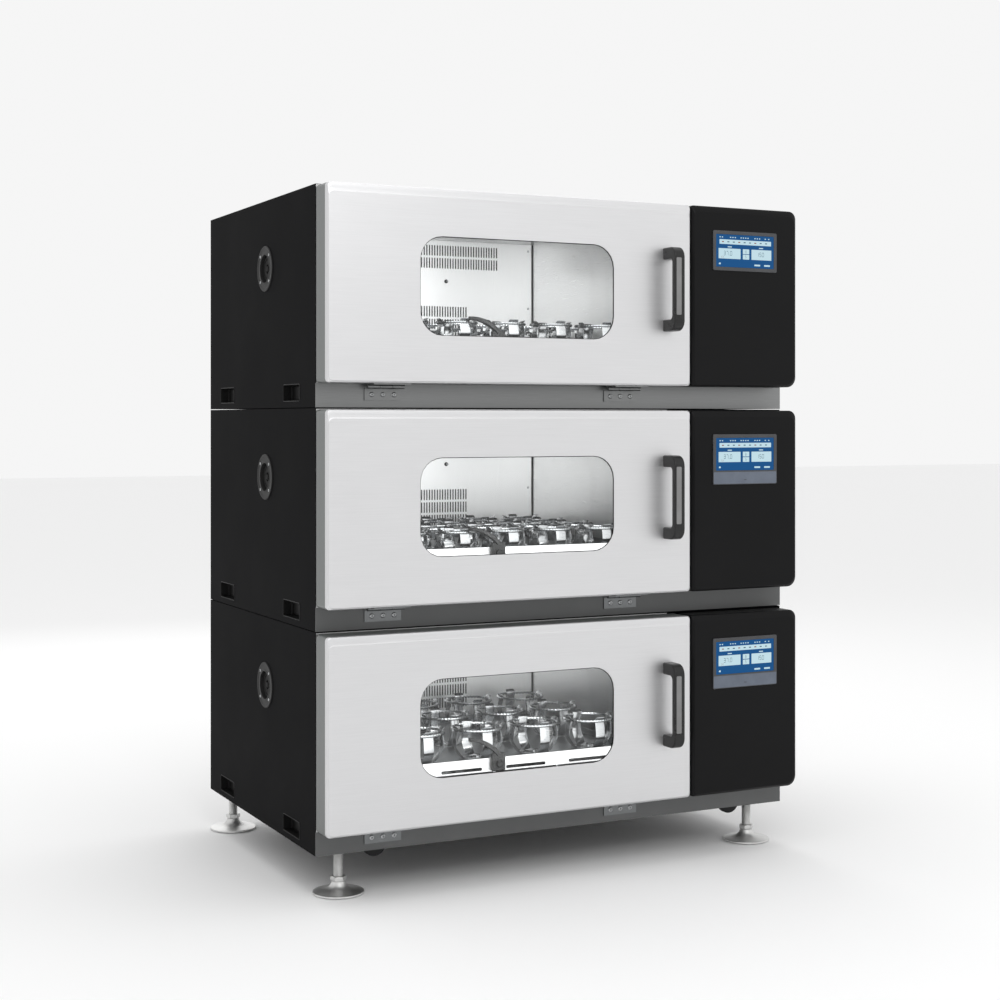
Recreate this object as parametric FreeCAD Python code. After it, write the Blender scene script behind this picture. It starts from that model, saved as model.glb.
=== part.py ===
import FreeCAD, Part
import math
import os

# Three orbital shaking incubators stacked on levelling feet, in millimetres.
# +Z is up and the doors face -Y. The origin is on the floor, under the middle of the whole machine.
# Each deck is drawn from the front left bottom corner of its own case, then moved to its place.

vec = FreeCAD.Vector
along_x = vec(1, 0, 0)
along_y = vec(0, 1, 0)
along_z = vec(0, 0, 1)

# Case
deck_names = ("bottom", "middle", "top")
case_width = 1330.0
case_depth = 840.0
deck_height = 530.0
deck_seam = 2.0          # open line between one case and the next
floor_gap = 106.0        # floor to the lowest case
case_sheet = 1.5
sill_height = 57.0
sill_sheet = 1.5
sill_return = 24.0       # depth of the sill's folded edges

# Chamber
chamber_left = 52.0
chamber_width = 893.0
chamber_floor = 98.0
chamber_height = 392.0
duct_panel_at = 710.0    # depth of the rear duct panel
liner_depth = 770.0
liner_sheet = 1.2
bulkhead_gap = 26.0      # chamber wall to the bulkhead beside the control bay
insulation_board = 24.0
insulation_play = 1.0

# Door
door_width = 998.5
door_top = 525.0
door_front = 76.0        # how far the door stands in front of the case
door_back_gap = 6.0      # door to case front, filled by the gasket
door_sheet = 1.5
skin_depth = 12.0
door_bevel = 5.0
door_top_bevel = 22.0     # wider fold along the top edge
door_bevel_back = 5.0
door_corner = 10.0
window_left = 237.0
window_width = 532.0
window_bottom = 172.0
window_height = 238.0
window_corner = 58.0
inner_window_margin = 44.0   # how far the liner's window stands outside the skin's
glass_thickness = 4.0
glass_overlap = 12.0     # front pane past the window's edge, behind the skin
glass_set_back = 9.0     # inner pane in front of the door's back
gasket_width = 5.0
gasket_lip = 1.5         # front gasket seen inside the window's edge
gasket_depth = 3.0       # front gasket between skin and pane
door_gasket_width = 14.0
door_gasket_gap = 0.3    # gasket to case front
fit_play = 0.5           # play round a pane or a cover

# Hinge between sill and door
hinge_length = 95.0
hinge_inset = 170.0
hinge_leaf_height = 28.0
hinge_leaf_top = 45.0
hinge_plate = 3.0
hinge_plate_inset = 12.0 # door's front to the plate under it
hinge_axis_front = 24.0  # hinge axis in front of the case
hinge_axis_height = 50.0
hinge_knuckle_radius = 5.0
hinge_pin_radius = 3.0
running_play = 0.05      # radial clearance of a shaft in its bore
knuckle_play = 0.4
hinge_screw_pitch = 29.0
hinge_screw_radius = 4.5
hinge_screw_height = 1.2

# Door handle
handle_centre = 929.0
handle_width = 30.0
handle_bottom = 196.0
handle_top = 410.0
handle_reach = 58.0
handle_bar = 16.0
handle_arm = 30.0
handle_outer_bend = 26.0
handle_inner_bend = 12.0
handle_edge = 4.0

# Control box
control_gap = 3.0        # door to control box
control_front = 79.0
control_bevel = 8.0
control_top_bevel = 18.0
control_bevel_back = 7.0
control_corner = 22.0
control_sheet = 2.0
panel_left = 61.0        # from the control box's left edge
panel_width = 200.0
panel_top = 463.0
panel_face = 104.0       # height of the screen with its border
panel_proud = 3.0
panel_depth = 34.0
panel_corner = 3.0
panel_border = 9.0
panel_flange = 5.0
panel_bars = {"bottom": 27.0, "middle": 27.0, "top": 0.0}    # plain bar under the screen

# Access port and lifting grips
port_radius = 58.0
port_bore = 35.0
port_wall = 2.5
port_flange = 3.0        # stands proud of the case
port_plug_set_back = 6.0
port_depth_at = 365.0
port_height_at = 355.0
plug_play = 0.3
grip_length = 117.0
grip_height = 39.0
grip_depth = 24.0
grip_wall = 2.0
grip_height_at = 36.5
grip_front_at = 168.0
grip_rear_at = 683.0

# Drive: three eccentric cranks under the tray
crank_throw = 13.0
crank_spread_x = 270.0
crank_spread_y = 120.0
main_shaft_radius = 15.0
side_shaft_radius = 10.0
crank_pin_radius = 10.0
crank_disc_radius = 34.0
crank_disc_height = 14.0
crank_disc_gap = 4.0
counterweight_radius = 62.0
motor_radius = 95.0
motor_height = 44.0
motor_bottom = 6.0
housing_radius = 40.0
side_housing_radius = 30.0
side_housing_bottom = 30.0
drive_plate = 6.0
drive_plate_bottom = 50.0
housing_rise = 2.0       # housings above the chamber floor
hole_play = 2.0          # hole round a housing

# Tray
tray_width = 820.0
tray_depth = 600.0
tray_front_gap = 47.0    # tray to case front, plus the crank throw
tray_top = 164.0         # where the clamps stand
tray_sheet = 3.0
tray_edge_bottom = 146.0
tray_edge_top = 180.0
tray_slot_length = 112.0
tray_slot_height = 8.0
tray_slot_corner = 3.2
tray_slot_pitch = 180.0
tray_slot_count = 4
tray_slot_below = 10.0   # slot middle below the tray's top
carriage_boss_radius = 26.0
carriage_boss_height = 40.0
carriage_beam_width = 46.0
carriage_beam_height = 12.0
carriage_pin_cover = 8.0

# Flask clamps: columns, rows, radius, height on each deck
clamp_sets = {
    "bottom": (5, 3, 65.0, 86.0),
    "middle": (6, 4, 51.0, 62.0),
    "top": (6, 4, 51.0, 62.0),
}
clamp_arm_width = 27.0
clamp_sheet = 1.6
clamp_base_share = 0.62  # foot disc's radius over the clamp's radius
clamp_knee_share = 0.45  # height of an arm's knee over the clamp's height
clamp_lean = 6.0         # how far an arm leans in below its tip
clamp_tip_rise = 5.4
clamp_tip_out = 7.2
clamp_inner_rise = 0.3

# Rear duct panel and fan
duct_sheet = 1.2
slot_width = 4.0
slot_pitch = 8.3
slot_height = 30.0
slot_row_pitch = 36.5
upper_grille = (80, 2, 409.0)    # slots in a row, rows, height of the lowest row
lower_grille = (56, 3, 196.0)
sensor_hole_radius = 3.0
sensor_hole_at = (663.0, 372.0)
fan_radius = 72.0
fan_hub_radius = 16.0
fan_disc = 2.0
fan_width = 34.0
fan_blades = 14
fan_blade_root = 47.5    # radius where a blade starts
fan_blade_turn = 25.0
fan_blade_sheet = 1.5
fan_front = 722.0
fan_height_at = 330.0
fan_shaft_radius = 4.0
fan_motor_radius = 42.0
fan_motor_length = 36.0
heater_ring_radius = 100.0
heater_rod_radius = 4.0
heater_stay = 6.0

# Power unit behind the control box
power_width = 200.0
power_depth = 320.0
power_height = 260.0
power_sheet = 1.5
power_left = 1050.0
power_bottom = 120.0
power_play = 10.0        # power unit to the casters' openings
inlet_width = 48.0
inlet_height = 28.0
inlet_depth = 30.0
inlet_proud = 3.0
switch_width = 28.0
switch_height = 22.0
inlet_height_at = 90.0

# Feet and casters
foot_inset_front = 76.0  # foot to the case's side
foot_inset_rear = 50.0
foot_inset_y = 48.0      # foot to the case's front or back
foot_disc_radius = 62.5
foot_disc_edge = 6.0
foot_hub_radius = 17.0
foot_hub_height = 30.0
foot_cone_radius = 27.2
foot_cone_bottom = 14.4
foot_stem_radius = 12.0
foot_stem_top = 40.0     # above the case bottom
foot_nut_radius = 20.0
foot_nut_height = 12.0
foot_boss_wall = 5.0
base_bar_width = 60.0
base_bar_bottom = 48.0
base_bar_height = 6.0
base_bar_inset = 26.0
caster_offset = 74.0     # foot to caster, along the front
caster_inset_y = 60.0    # caster to the case's front or back
caster_wheel_radius = 30.0
caster_wheel_width = 20.0
caster_tyre_round = 3.0
caster_drop = 30.0       # wheel bottom below the case
caster_trail = 22.0
caster_axle_radius = 4.0
caster_plate = 4.0
caster_head_radius = 20.0
caster_head_height = 7.0
caster_leg_sheet = 3.0
caster_leg_width = 18.0
caster_side_play = 1.0
caster_stud_radius = 5.0
caster_opening_radius = 54.5

# Worked out from the sizes above
case_top = deck_height - deck_seam
chamber_right = chamber_left + chamber_width
chamber_ceiling = chamber_floor + chamber_height
chamber_middle = chamber_left + chamber_width / 2
tray_middle_y = tray_front_gap + crank_throw + tray_depth / 2
crank_middle_y = tray_middle_y + crank_throw
door_right = door_width
control_left = door_right + control_gap
control_right = case_width
control_top = door_top
overall_front = -max(door_front + handle_reach, control_front + panel_proud)
overall_back = case_depth + max(inlet_proud, foot_disc_radius - foot_inset_y)
foot_overhang = foot_disc_radius - min(foot_inset_front, foot_inset_rear)
overall_left = -max(port_flange, foot_overhang)
overall_right = case_width + max(0, foot_overhang)
place_x = -(overall_left + overall_right) / 2
place_y = -(overall_front + overall_back) / 2
disc_bottom = chamber_floor + crank_disc_gap
disc_top = disc_bottom + crank_disc_height
boss_bottom = tray_top - tray_sheet - carriage_boss_height
pin_top = tray_top - tray_sheet - carriage_pin_cover
crank_places = {
    "main": (chamber_middle, crank_middle_y),
    "left": (chamber_middle - crank_spread_x, crank_middle_y + crank_spread_y),
    "right": (chamber_middle + crank_spread_x, crank_middle_y + crank_spread_y),
}


def block(x0, x1, y0, y1, z0, z1):
    return Part.makeBox(x1 - x0, y1 - y0, z1 - z0, vec(x0, y0, z0))


def rod(radius, length, start, direction):
    return Part.makeCylinder(radius, length, start, direction)


def pipe(outer, inner, length, start, direction):
    return rod(outer, length, start, direction).cut(rod(inner, length, start, direction))


def joined(shapes):
    whole = shapes[0]
    for shape in shapes[1:]:
        whole = whole.fuse(shape)
    return whole.removeSplitter()


def without(shape, cuts):
    for cut in cuts:
        shape = shape.cut(cut)
    return shape


def near(value, other):
    return abs(value - other) < 0.01


def outline(x0, x1, z0, z1, radius, y):
    # Closed wire with round corners, standing upright at depth y
    if radius <= 0:
        corners = [vec(x0, y, z0), vec(x1, y, z0), vec(x1, y, z1), vec(x0, y, z1), vec(x0, y, z0)]
        return Part.makePolygon(corners)
    edges = []
    centres = ((x1 - radius, z0 + radius, -90), (x1 - radius, z1 - radius, 0),
               (x0 + radius, z1 - radius, 90), (x0 + radius, z0 + radius, 180))
    points = []
    for cx, cz, start in centres:
        for turn in (0, 45, 90):
            angle = math.radians(start + turn)
            points.append(vec(cx + radius * math.cos(angle), y, cz + radius * math.sin(angle)))
    for corner in range(4):
        first, middle, last = points[3 * corner:3 * corner + 3]
        following = points[(3 * corner + 3) % 12]
        edges.append(Part.Arc(first, middle, last).toShape())
        edges.append(Part.LineSegment(last, following).toShape())
    return Part.Wire(edges)


def upright_plate(x0, x1, z0, z1, radius, y0, y1):
    return Part.Face(outline(x0, x1, z0, z1, radius, y0)).extrude(vec(0, y1 - y0, 0))


def upright_ring(x0, x1, z0, z1, radius, inset, y0, y1):
    outer = upright_plate(x0, x1, z0, z1, radius, y0, y1)
    inner = upright_plate(x0 + inset, x1 - inset, z0 + inset, z1 - inset, max(radius - inset, 0), y0, y1)
    return outer.cut(inner)


def bevelled_body(x0, x1, z0, z1, corner, front, back, bevel, top_bevel, bevel_back):
    # Front face set in by the bevels, full outline from bevel_back behind it
    shoulder = front + bevel_back
    face = outline(x0 + bevel, x1 - bevel, z0 + bevel, z1 - top_bevel, corner, front)
    full = outline(x0, x1, z0, z1, corner, shoulder)
    nose = Part.makeLoft([face, full], True, True)
    rest = upright_plate(x0, x1, z0, z1, corner, shoulder, back)
    return nose.fuse(rest).removeSplitter()


def bevelled_pan(x0, x1, z0, z1, corner, front, back, bevel, top_bevel, bevel_back, sheet):
    outer = bevelled_body(x0, x1, z0, z1, corner, front, back, bevel, top_bevel, bevel_back)
    inner = bevelled_body(x0 + sheet, x1 - sheet, z0 + sheet, z1 - sheet, corner - sheet,
                          front + sheet, back, bevel, top_bevel, bevel_back)
    return outer.cut(inner)


# ---- Case and fixed sheet metal ----

def grip_pocket(side, depth_at, grow):
    y0 = depth_at - grip_length / 2 - grow
    y1 = depth_at + grip_length / 2 + grow
    z0 = grip_height_at - grip_height / 2 - grow
    z1 = grip_height_at + grip_height / 2 + grow
    reach = grip_depth - grip_wall + grow
    if side == "left":
        return block(0, reach, y0, y1, z0, z1)
    return block(case_width - reach, case_width, y0, y1, z0, z1)


def corner_places(offset, inset_y):
    # The four corners under the machine, offset towards the middle from each foot
    rows = (("front", inset_y, foot_inset_front), ("rear", case_depth - inset_y, foot_inset_rear))
    for name_y, y, inset in rows:
        for name_x, x in (("left", inset + offset), ("right", case_width - inset - offset)):
            yield f"{name_y}_{name_x}", x, y


def caster_places():
    return corner_places(caster_offset, caster_inset_y)


def foot_places():
    return corner_places(0, foot_inset_y)


def bulkhead_block(y0, y1, z0, z1):
    x0 = chamber_right + bulkhead_gap
    return block(x0, x0 + case_sheet, y0, y1, z0, z1)


def case_panels(deck):
    t = case_sheet
    left = block(0, t, 0, case_depth, 0, case_top)
    right = block(case_width - t, case_width, 0, case_depth, 0, case_top)
    port_hole = rod(port_bore + port_wall, t, vec(0, port_depth_at, port_height_at), along_x)
    left = left.cut(port_hole)
    for depth_at in (grip_front_at, grip_rear_at):
        left = left.cut(grip_pocket("left", depth_at, grip_wall))
        right = right.cut(grip_pocket("right", depth_at, grip_wall))
    base = block(t, case_width - t, 0, case_depth, 0, t)
    if deck == deck_names[0]:
        for _, x, y in foot_places():
            base = base.cut(rod(foot_stem_radius + hole_play, t, vec(x, y, 0), along_z))
        for _, x, y in caster_places():
            base = base.cut(rod(caster_opening_radius, t, vec(x, y, 0), along_z))
    top = block(t, case_width - t, 0, case_depth, case_top - t, case_top)
    back = block(t, case_width - t, case_depth - t, case_depth, t, case_top - t)
    for x0, x1, z0, z1 in inlet_outlines():
        back = back.cut(block(x0, x1, case_depth - t, case_depth, z0, z1))
    bulkhead = bulkhead_block(liner_sheet, case_depth - t, t, case_top - t)
    return [left, right, base, top, back, bulkhead]


def base_frame():
    # Two flat bars across the machine, with a threaded boss over each foot and a plate over each caster
    bar_top = base_bar_bottom + base_bar_height
    bars = []
    bar_inset_y = (foot_inset_y + caster_inset_y) / 2
    for y in (bar_inset_y, case_depth - bar_inset_y):
        y0 = y - base_bar_width / 2
        y1 = y + base_bar_width / 2
        bar = block(base_bar_inset, case_width - base_bar_inset, y0, y1, base_bar_bottom, bar_top)
        bars.append(bar.cut(bulkhead_block(y0, y1, base_bar_bottom, bar_top)))
    pieces = []
    stem_holes = []
    stud_holes = []
    for _, x, y in foot_places():
        bore = foot_stem_radius + running_play
        pieces.append(pipe(bore + foot_boss_wall, bore, base_bar_bottom - case_sheet,
                           vec(x, y, case_sheet), along_z))
        stem_holes.append(rod(bore, base_bar_height, vec(x, y, base_bar_bottom), along_z))
    for _, x, y in caster_places():
        bore = caster_stud_radius + running_play
        pieces.append(pipe(caster_head_radius + caster_plate, bore, caster_plate,
                           vec(x, y, base_bar_bottom - caster_plate), along_z))
        stud_holes.append(rod(bore, base_bar_height, vec(x, y, base_bar_bottom), along_z))
    for bar in bars:
        pieces.extend(without(bar, stem_holes + stud_holes).Solids)
    return pieces


def front_sill():
    face = block(0, case_width, -sill_sheet, 0, 0, sill_height)
    upper = block(case_sheet, case_width - case_sheet, 0, sill_return,
                  sill_height - sill_sheet, sill_height)
    slit = bulkhead_block(0, sill_return, sill_height - sill_sheet, sill_height)
    return face.fuse(upper.cut(slit)).removeSplitter().Solids


def hinge_centres():
    return (hinge_inset, door_width - hinge_inset)


def hinge_sill_leaf(centre):
    third = hinge_length / 3
    x0 = centre - hinge_length / 2
    face_y = -sill_sheet
    leaf = block(x0, x0 + hinge_length, face_y - hinge_plate, face_y,
                 hinge_leaf_top - hinge_leaf_height, hinge_leaf_top)
    arm = block(x0 + third, x0 + 2 * third, -hinge_axis_front, face_y,
                hinge_leaf_top, hinge_leaf_top + hinge_plate)
    foot = block(x0 + third, x0 + 2 * third, face_y - hinge_plate, face_y,
                 hinge_leaf_top - hinge_plate, hinge_leaf_top + hinge_plate)
    axis_start = vec(x0 + third + knuckle_play, -hinge_axis_front, hinge_axis_height)
    length = third - 2 * knuckle_play
    knuckle = rod(hinge_knuckle_radius, length, axis_start, along_x)
    trim = block(x0, x0 + third + knuckle_play, -2 * hinge_axis_front, face_y - hinge_plate,
                 hinge_leaf_top, hinge_leaf_top + hinge_plate)
    other_trim = trim.translated(vec(2 * third - knuckle_play, 0, 0))
    bore = rod(hinge_pin_radius + running_play, hinge_length, vec(x0, axis_start.y, axis_start.z), along_x)
    body = joined([leaf, foot, arm, knuckle])
    body = without(body, [trim, other_trim, bore])
    screws = []
    screw_z = hinge_leaf_top - hinge_leaf_height / 2
    for step in (-1, 0, 1):
        start = vec(centre + step * hinge_screw_pitch, face_y - hinge_plate - hinge_screw_height, screw_z)
        screws.append(rod(hinge_screw_radius, hinge_screw_height, start, along_y))
    return [body] + screws


def hinge_door_leaf(centre):
    third = hinge_length / 3
    x0 = centre - hinge_length / 2
    plate_z = sill_height - hinge_plate
    back = -hinge_axis_front + hinge_knuckle_radius
    plate = block(x0, x0 + hinge_length, -door_front + hinge_plate_inset, back, plate_z, sill_height)
    notch = block(x0 + third - knuckle_play, x0 + 2 * third + knuckle_play,
                  -hinge_axis_front - hinge_knuckle_radius - hinge_plate, back, plate_z, sill_height)
    knuckles = []
    for start_x in (x0, x0 + 2 * third + knuckle_play):
        start = vec(start_x, -hinge_axis_front, hinge_axis_height)
        knuckles.append(rod(hinge_knuckle_radius, third - knuckle_play, start, along_x))
    pin = rod(hinge_pin_radius, hinge_length, vec(x0, -hinge_axis_front, hinge_axis_height), along_x)
    return joined([plate.cut(notch)] + knuckles + [pin])


# ---- Chamber ----

def chamber_liner():
    t = liner_sheet
    right = chamber_right
    floor = block(chamber_left - t, right + t, t, liner_depth, chamber_floor - t, chamber_floor)
    for name, (x, y) in crank_places.items():
        radius = housing_radius if name == "main" else side_housing_radius
        floor = floor.cut(rod(radius + hole_play, t, vec(x, y, chamber_floor - t), along_z))
    ceiling = block(chamber_left - t, right + t, t, liner_depth, chamber_ceiling, chamber_ceiling + t)
    left_wall = block(chamber_left - t, chamber_left, t, liner_depth, chamber_floor, chamber_ceiling)
    port_hole = rod(port_bore + port_wall, t, vec(chamber_left - t, port_depth_at, port_height_at), along_x)
    left_wall = left_wall.cut(port_hole)
    right_wall = block(right, right + t, t, liner_depth, chamber_floor, chamber_ceiling)
    back = block(chamber_left, right, liner_depth - t, liner_depth, chamber_floor, chamber_ceiling)
    shaft_hole = rod(fan_shaft_radius + hole_play, t, vec(chamber_middle, liner_depth - t, fan_height_at),
                     along_y)
    back = back.cut(shaft_hole)
    edge_left = case_sheet
    edge_right = right + bulkhead_gap + case_sheet
    edge_top = case_top - case_sheet
    flange_bottom = block(edge_left, edge_right, 0, t, sill_height, chamber_floor)
    flange_top = block(edge_left, edge_right, 0, t, chamber_ceiling, edge_top)
    flange_left = block(edge_left, chamber_left, 0, t, chamber_floor, chamber_ceiling)
    flange_right = block(right, edge_right, 0, t, chamber_floor, chamber_ceiling)
    return [floor, ceiling, left_wall, right_wall, back,
            flange_bottom, flange_top, flange_left, flange_right]


def insulation():
    gap = insulation_play
    board = insulation_board
    front = liner_sheet + gap
    rear = liner_depth + gap
    left = chamber_left - liner_sheet - gap
    right = chamber_right + liner_sheet + gap
    under = chamber_floor - liner_sheet - gap
    over = chamber_ceiling + liner_sheet + gap
    below = block(left, right, front, liner_depth, under - board, under)
    for name, (x, y) in crank_places.items():
        radius = housing_radius if name == "main" else side_housing_radius
        below = below.cut(rod(radius + hole_play, board, vec(x, y, under - board), along_z))
    above = block(left, right, front, liner_depth, over, over + board)
    left_board = block(left - board, left, front, liner_depth, under, over)
    port_hole = rod(port_bore + port_wall, board, vec(left - board, port_depth_at, port_height_at), along_x)
    left_board = left_board.cut(port_hole)
    right_board = block(right, right + board - 2 * gap, front, liner_depth, under, over)
    behind = block(left, right, rear, rear + board, under, over)
    shaft_hole = rod(fan_shaft_radius + hole_play, board, vec(chamber_middle, rear, fan_height_at), along_y)
    behind = behind.cut(shaft_hole)
    return [below, above, left_board, right_board, behind]


def duct_panel():
    panel = outline(chamber_left + fit_play, chamber_right - fit_play, chamber_floor + fit_play,
                    chamber_ceiling - fit_play, 0, duct_panel_at)
    holes = []
    for count, rows, bottom in (upper_grille, lower_grille):
        start = chamber_middle - (count - 1) * slot_pitch / 2
        for row in range(rows):
            z0 = bottom + row * slot_row_pitch
            for step in range(count):
                x = start + step * slot_pitch
                holes.append(outline(x - slot_width / 2, x + slot_width / 2, z0, z0 + slot_height,
                                     0, duct_panel_at))
    sensor = Part.Circle(vec(sensor_hole_at[0], duct_panel_at, sensor_hole_at[1]), along_y,
                         sensor_hole_radius)
    holes.append(Part.Wire(sensor.toShape()))
    face = Part.Face(panel).cut(Part.makeCompound([Part.Face(hole) for hole in holes]))
    return face.Faces[0].extrude(vec(0, duct_sheet, 0))


# ---- Door ----

def window_plate(grow, y0, y1):
    return upright_plate(window_left - grow, window_left + window_width + grow, window_bottom - grow,
                         window_bottom + window_height + grow, window_corner + grow, y0, y1)


def window_ring(grow, width, y0, y1):
    return upright_ring(window_left - grow, window_left + window_width + grow, window_bottom - grow,
                        window_bottom + window_height + grow, window_corner + grow, width, y0, y1)


def door_skin():
    pan = bevelled_pan(0, door_right, sill_height, door_top, door_corner, -door_front,
                       -door_front + skin_depth, door_bevel, door_top_bevel, door_bevel_back, door_sheet)
    return pan.cut(window_plate(0, -door_front, 0))


def door_liner():
    front = -door_front + skin_depth
    back = -door_back_gap
    t = door_sheet
    body = upright_plate(0, door_right, sill_height, door_top, door_corner, front, back)
    room = upright_plate(t, door_right - t, sill_height + t, door_top - t, door_corner - t, front, back - t)
    shell = body.cut(room)
    tunnel = window_plate(inner_window_margin + t, -door_front + door_sheet, back)
    opening = window_plate(inner_window_margin, -door_front, 0)
    return shell.fuse(tunnel).cut(opening).removeSplitter()


def window_panes():
    outer_y = -door_front + door_sheet + gasket_depth
    inner_y = -door_back_gap - glass_set_back
    outer = window_plate(glass_overlap, outer_y, outer_y + glass_thickness)
    inner = window_plate(inner_window_margin - fit_play, inner_y, inner_y + glass_thickness)
    return [outer, inner]


def door_seals():
    ring_y = -door_front + door_sheet
    ring = window_ring(glass_overlap, glass_overlap + gasket_lip, ring_y, ring_y + gasket_depth)
    inner_y = -door_back_gap - glass_set_back + glass_thickness
    inner_ring = window_ring(inner_window_margin, gasket_width, inner_y, -door_back_gap)
    margin = door_gasket_width
    gasket = upright_ring(chamber_left - 2 * margin, chamber_right + margin, chamber_floor - 2 * margin,
                          chamber_ceiling + 2 * margin, door_corner, margin,
                          -door_back_gap, -door_gasket_gap)
    return [ring, inner_ring, gasket]


def door_handle():
    front = -door_front - handle_reach
    x0 = handle_centre - handle_width / 2
    outer = block(x0, x0 + handle_width, front, -door_front, handle_bottom, handle_top)
    bends = [edge for edge in outer.Edges
             if near(edge.CenterOfMass.x, handle_centre) and near(edge.CenterOfMass.y, front)]
    outer = outer.makeFillet(handle_outer_bend, bends)
    inner_front = front + handle_bar
    gap = block(x0, x0 + handle_width, inner_front, -door_front + handle_outer_bend,
                handle_bottom + handle_arm, handle_top - handle_arm)
    corners = [edge for edge in gap.Edges
               if near(edge.CenterOfMass.x, handle_centre) and near(edge.CenterOfMass.y, inner_front)]
    gap = gap.makeFillet(handle_inner_bend, corners)
    handle = outer.cut(gap)
    rims = []
    for edge in handle.Edges:
        centre = edge.CenterOfMass
        on_side = near(centre.x, x0) or near(centre.x, x0 + handle_width)
        if on_side and not near(centre.y, -door_front):
            rims.append(edge)
    return handle.makeFillet(handle_edge, rims)


# ---- Control box ----

def touch_panel_outline(deck, grow):
    x0 = control_left + panel_left - grow
    x1 = x0 + panel_width + 2 * grow
    return x0, x1, panel_top - panel_face - panel_bars[deck] - grow, panel_top + grow


def control_cover(deck):
    cover = bevelled_pan(control_left, control_right, sill_height, control_top, control_corner,
                         -control_front, -sill_sheet, control_bevel, control_top_bevel, control_bevel_back,
                         control_sheet)
    x0, x1, z0, z1 = touch_panel_outline(deck, -panel_flange)
    return cover.cut(block(x0, x1, -control_front - 1, -control_front + panel_flange, z0, z1))


def touch_panel(deck):
    x0, x1, z0, z1 = touch_panel_outline(deck, 0)
    front = -control_front - panel_proud
    frame = upright_plate(x0, x1, z0, z1, panel_corner, front, -control_front)
    bx0, bx1, bz0, bz1 = touch_panel_outline(deck, -panel_flange - fit_play)
    box = block(bx0, bx1, -control_front, -control_front + panel_depth, bz0, bz1)
    screen = block(x0 + panel_border, x1 - panel_border, front, front + panel_proud / 2,
                   z1 - panel_face + panel_border, z1 - panel_border)
    return [frame.fuse(box).cut(screen).removeSplitter(), screen]


# ---- Fittings on the sides and the back ----

def access_port():
    start = vec(-port_flange, port_depth_at, port_height_at)
    flange = rod(port_radius, port_flange, start, along_x)
    sleeve = rod(port_bore + port_wall, port_flange + chamber_left, start, along_x)
    bore = rod(port_bore, port_flange + chamber_left, start, along_x)
    ring = flange.fuse(sleeve).cut(bore)
    plug_start = vec(port_plug_set_back, port_depth_at, port_height_at)
    plug = rod(port_bore - plug_play, chamber_left - port_plug_set_back, plug_start, along_x)
    return [ring.removeSplitter(), plug]


def lift_grips():
    cups = []
    for side in ("left", "right"):
        for depth_at in (grip_front_at, grip_rear_at):
            cups.append(grip_pocket(side, depth_at, grip_wall).cut(grip_pocket(side, depth_at, 0)))
    return cups


def inlet_outlines():
    x0 = power_left + power_width / 2 - inlet_width
    z0 = inlet_height_at
    yield x0, x0 + inlet_width, z0, z0 + inlet_height
    x1 = x0 + inlet_width + switch_width
    yield x1, x1 + switch_width, z0, z0 + switch_height


def power_unit():
    t = power_sheet
    x1 = power_left + power_width
    y1 = case_depth - caster_inset_y - caster_opening_radius - power_play
    y0 = y1 - power_depth
    z1 = power_bottom + power_height
    body = block(power_left, x1, y0, y1, power_bottom, z1)
    room = block(power_left + t, x1 - t, y0 + t, y1 - t, power_bottom + t, z1 - t)
    stand = block(power_left, x1, y0, y0 + t, case_sheet, power_bottom)
    rear_stand = stand.translated(vec(0, power_depth - t, 0))
    pieces = [joined([body.cut(room), stand, rear_stand])]
    for x0, x1, z0, z1 in inlet_outlines():
        pieces.append(block(x0, x1, case_depth - case_sheet - inlet_depth, case_depth + inlet_proud, z0, z1))
    return pieces


# ---- Drive, tray and clamps ----

def drive_unit():
    top = chamber_floor + housing_rise
    cx, cy = crank_places["main"]
    drum = rod(motor_radius, motor_height, vec(cx, cy, motor_bottom), along_z)
    neck = rod(housing_radius, top - motor_bottom, vec(cx, cy, motor_bottom), along_z)
    floor_thickness = motor_bottom
    bore = rod(main_shaft_radius + running_play, top, vec(cx, cy, motor_bottom + floor_thickness), along_z)
    pieces = [drum.fuse(neck).cut(bore).removeSplitter()]
    margin = side_housing_radius + crank_disc_radius
    left_x = crank_places["left"][0] - margin
    right_x = crank_places["right"][0] + margin
    plate_top = drive_plate_bottom + drive_plate
    plate = block(left_x, right_x, cy - motor_radius, cy + crank_spread_y + margin,
                  drive_plate_bottom, plate_top)
    plate = plate.cut(rod(housing_radius, drive_plate, vec(cx, cy, drive_plate_bottom), along_z))
    for name in ("left", "right"):
        x, y = crank_places[name]
        height = top - side_housing_bottom
        housing = rod(side_housing_radius, height, vec(x, y, side_housing_bottom), along_z)
        bore = rod(side_shaft_radius + running_play, height, vec(x, y, side_housing_bottom + drive_plate),
                   along_z)
        plate = plate.cut(rod(side_housing_radius, drive_plate, vec(x, y, drive_plate_bottom), along_z))
        pieces.append(housing.cut(bore))
    pieces.append(plate)
    leg = 2 * side_shaft_radius
    for x0 in (left_x, right_x - leg):
        for y0 in (cy - motor_radius, cy + crank_spread_y + margin - leg):
            pieces.append(block(x0, x0 + leg, y0, y0 + leg, case_sheet, drive_plate_bottom))
    return pieces


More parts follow.
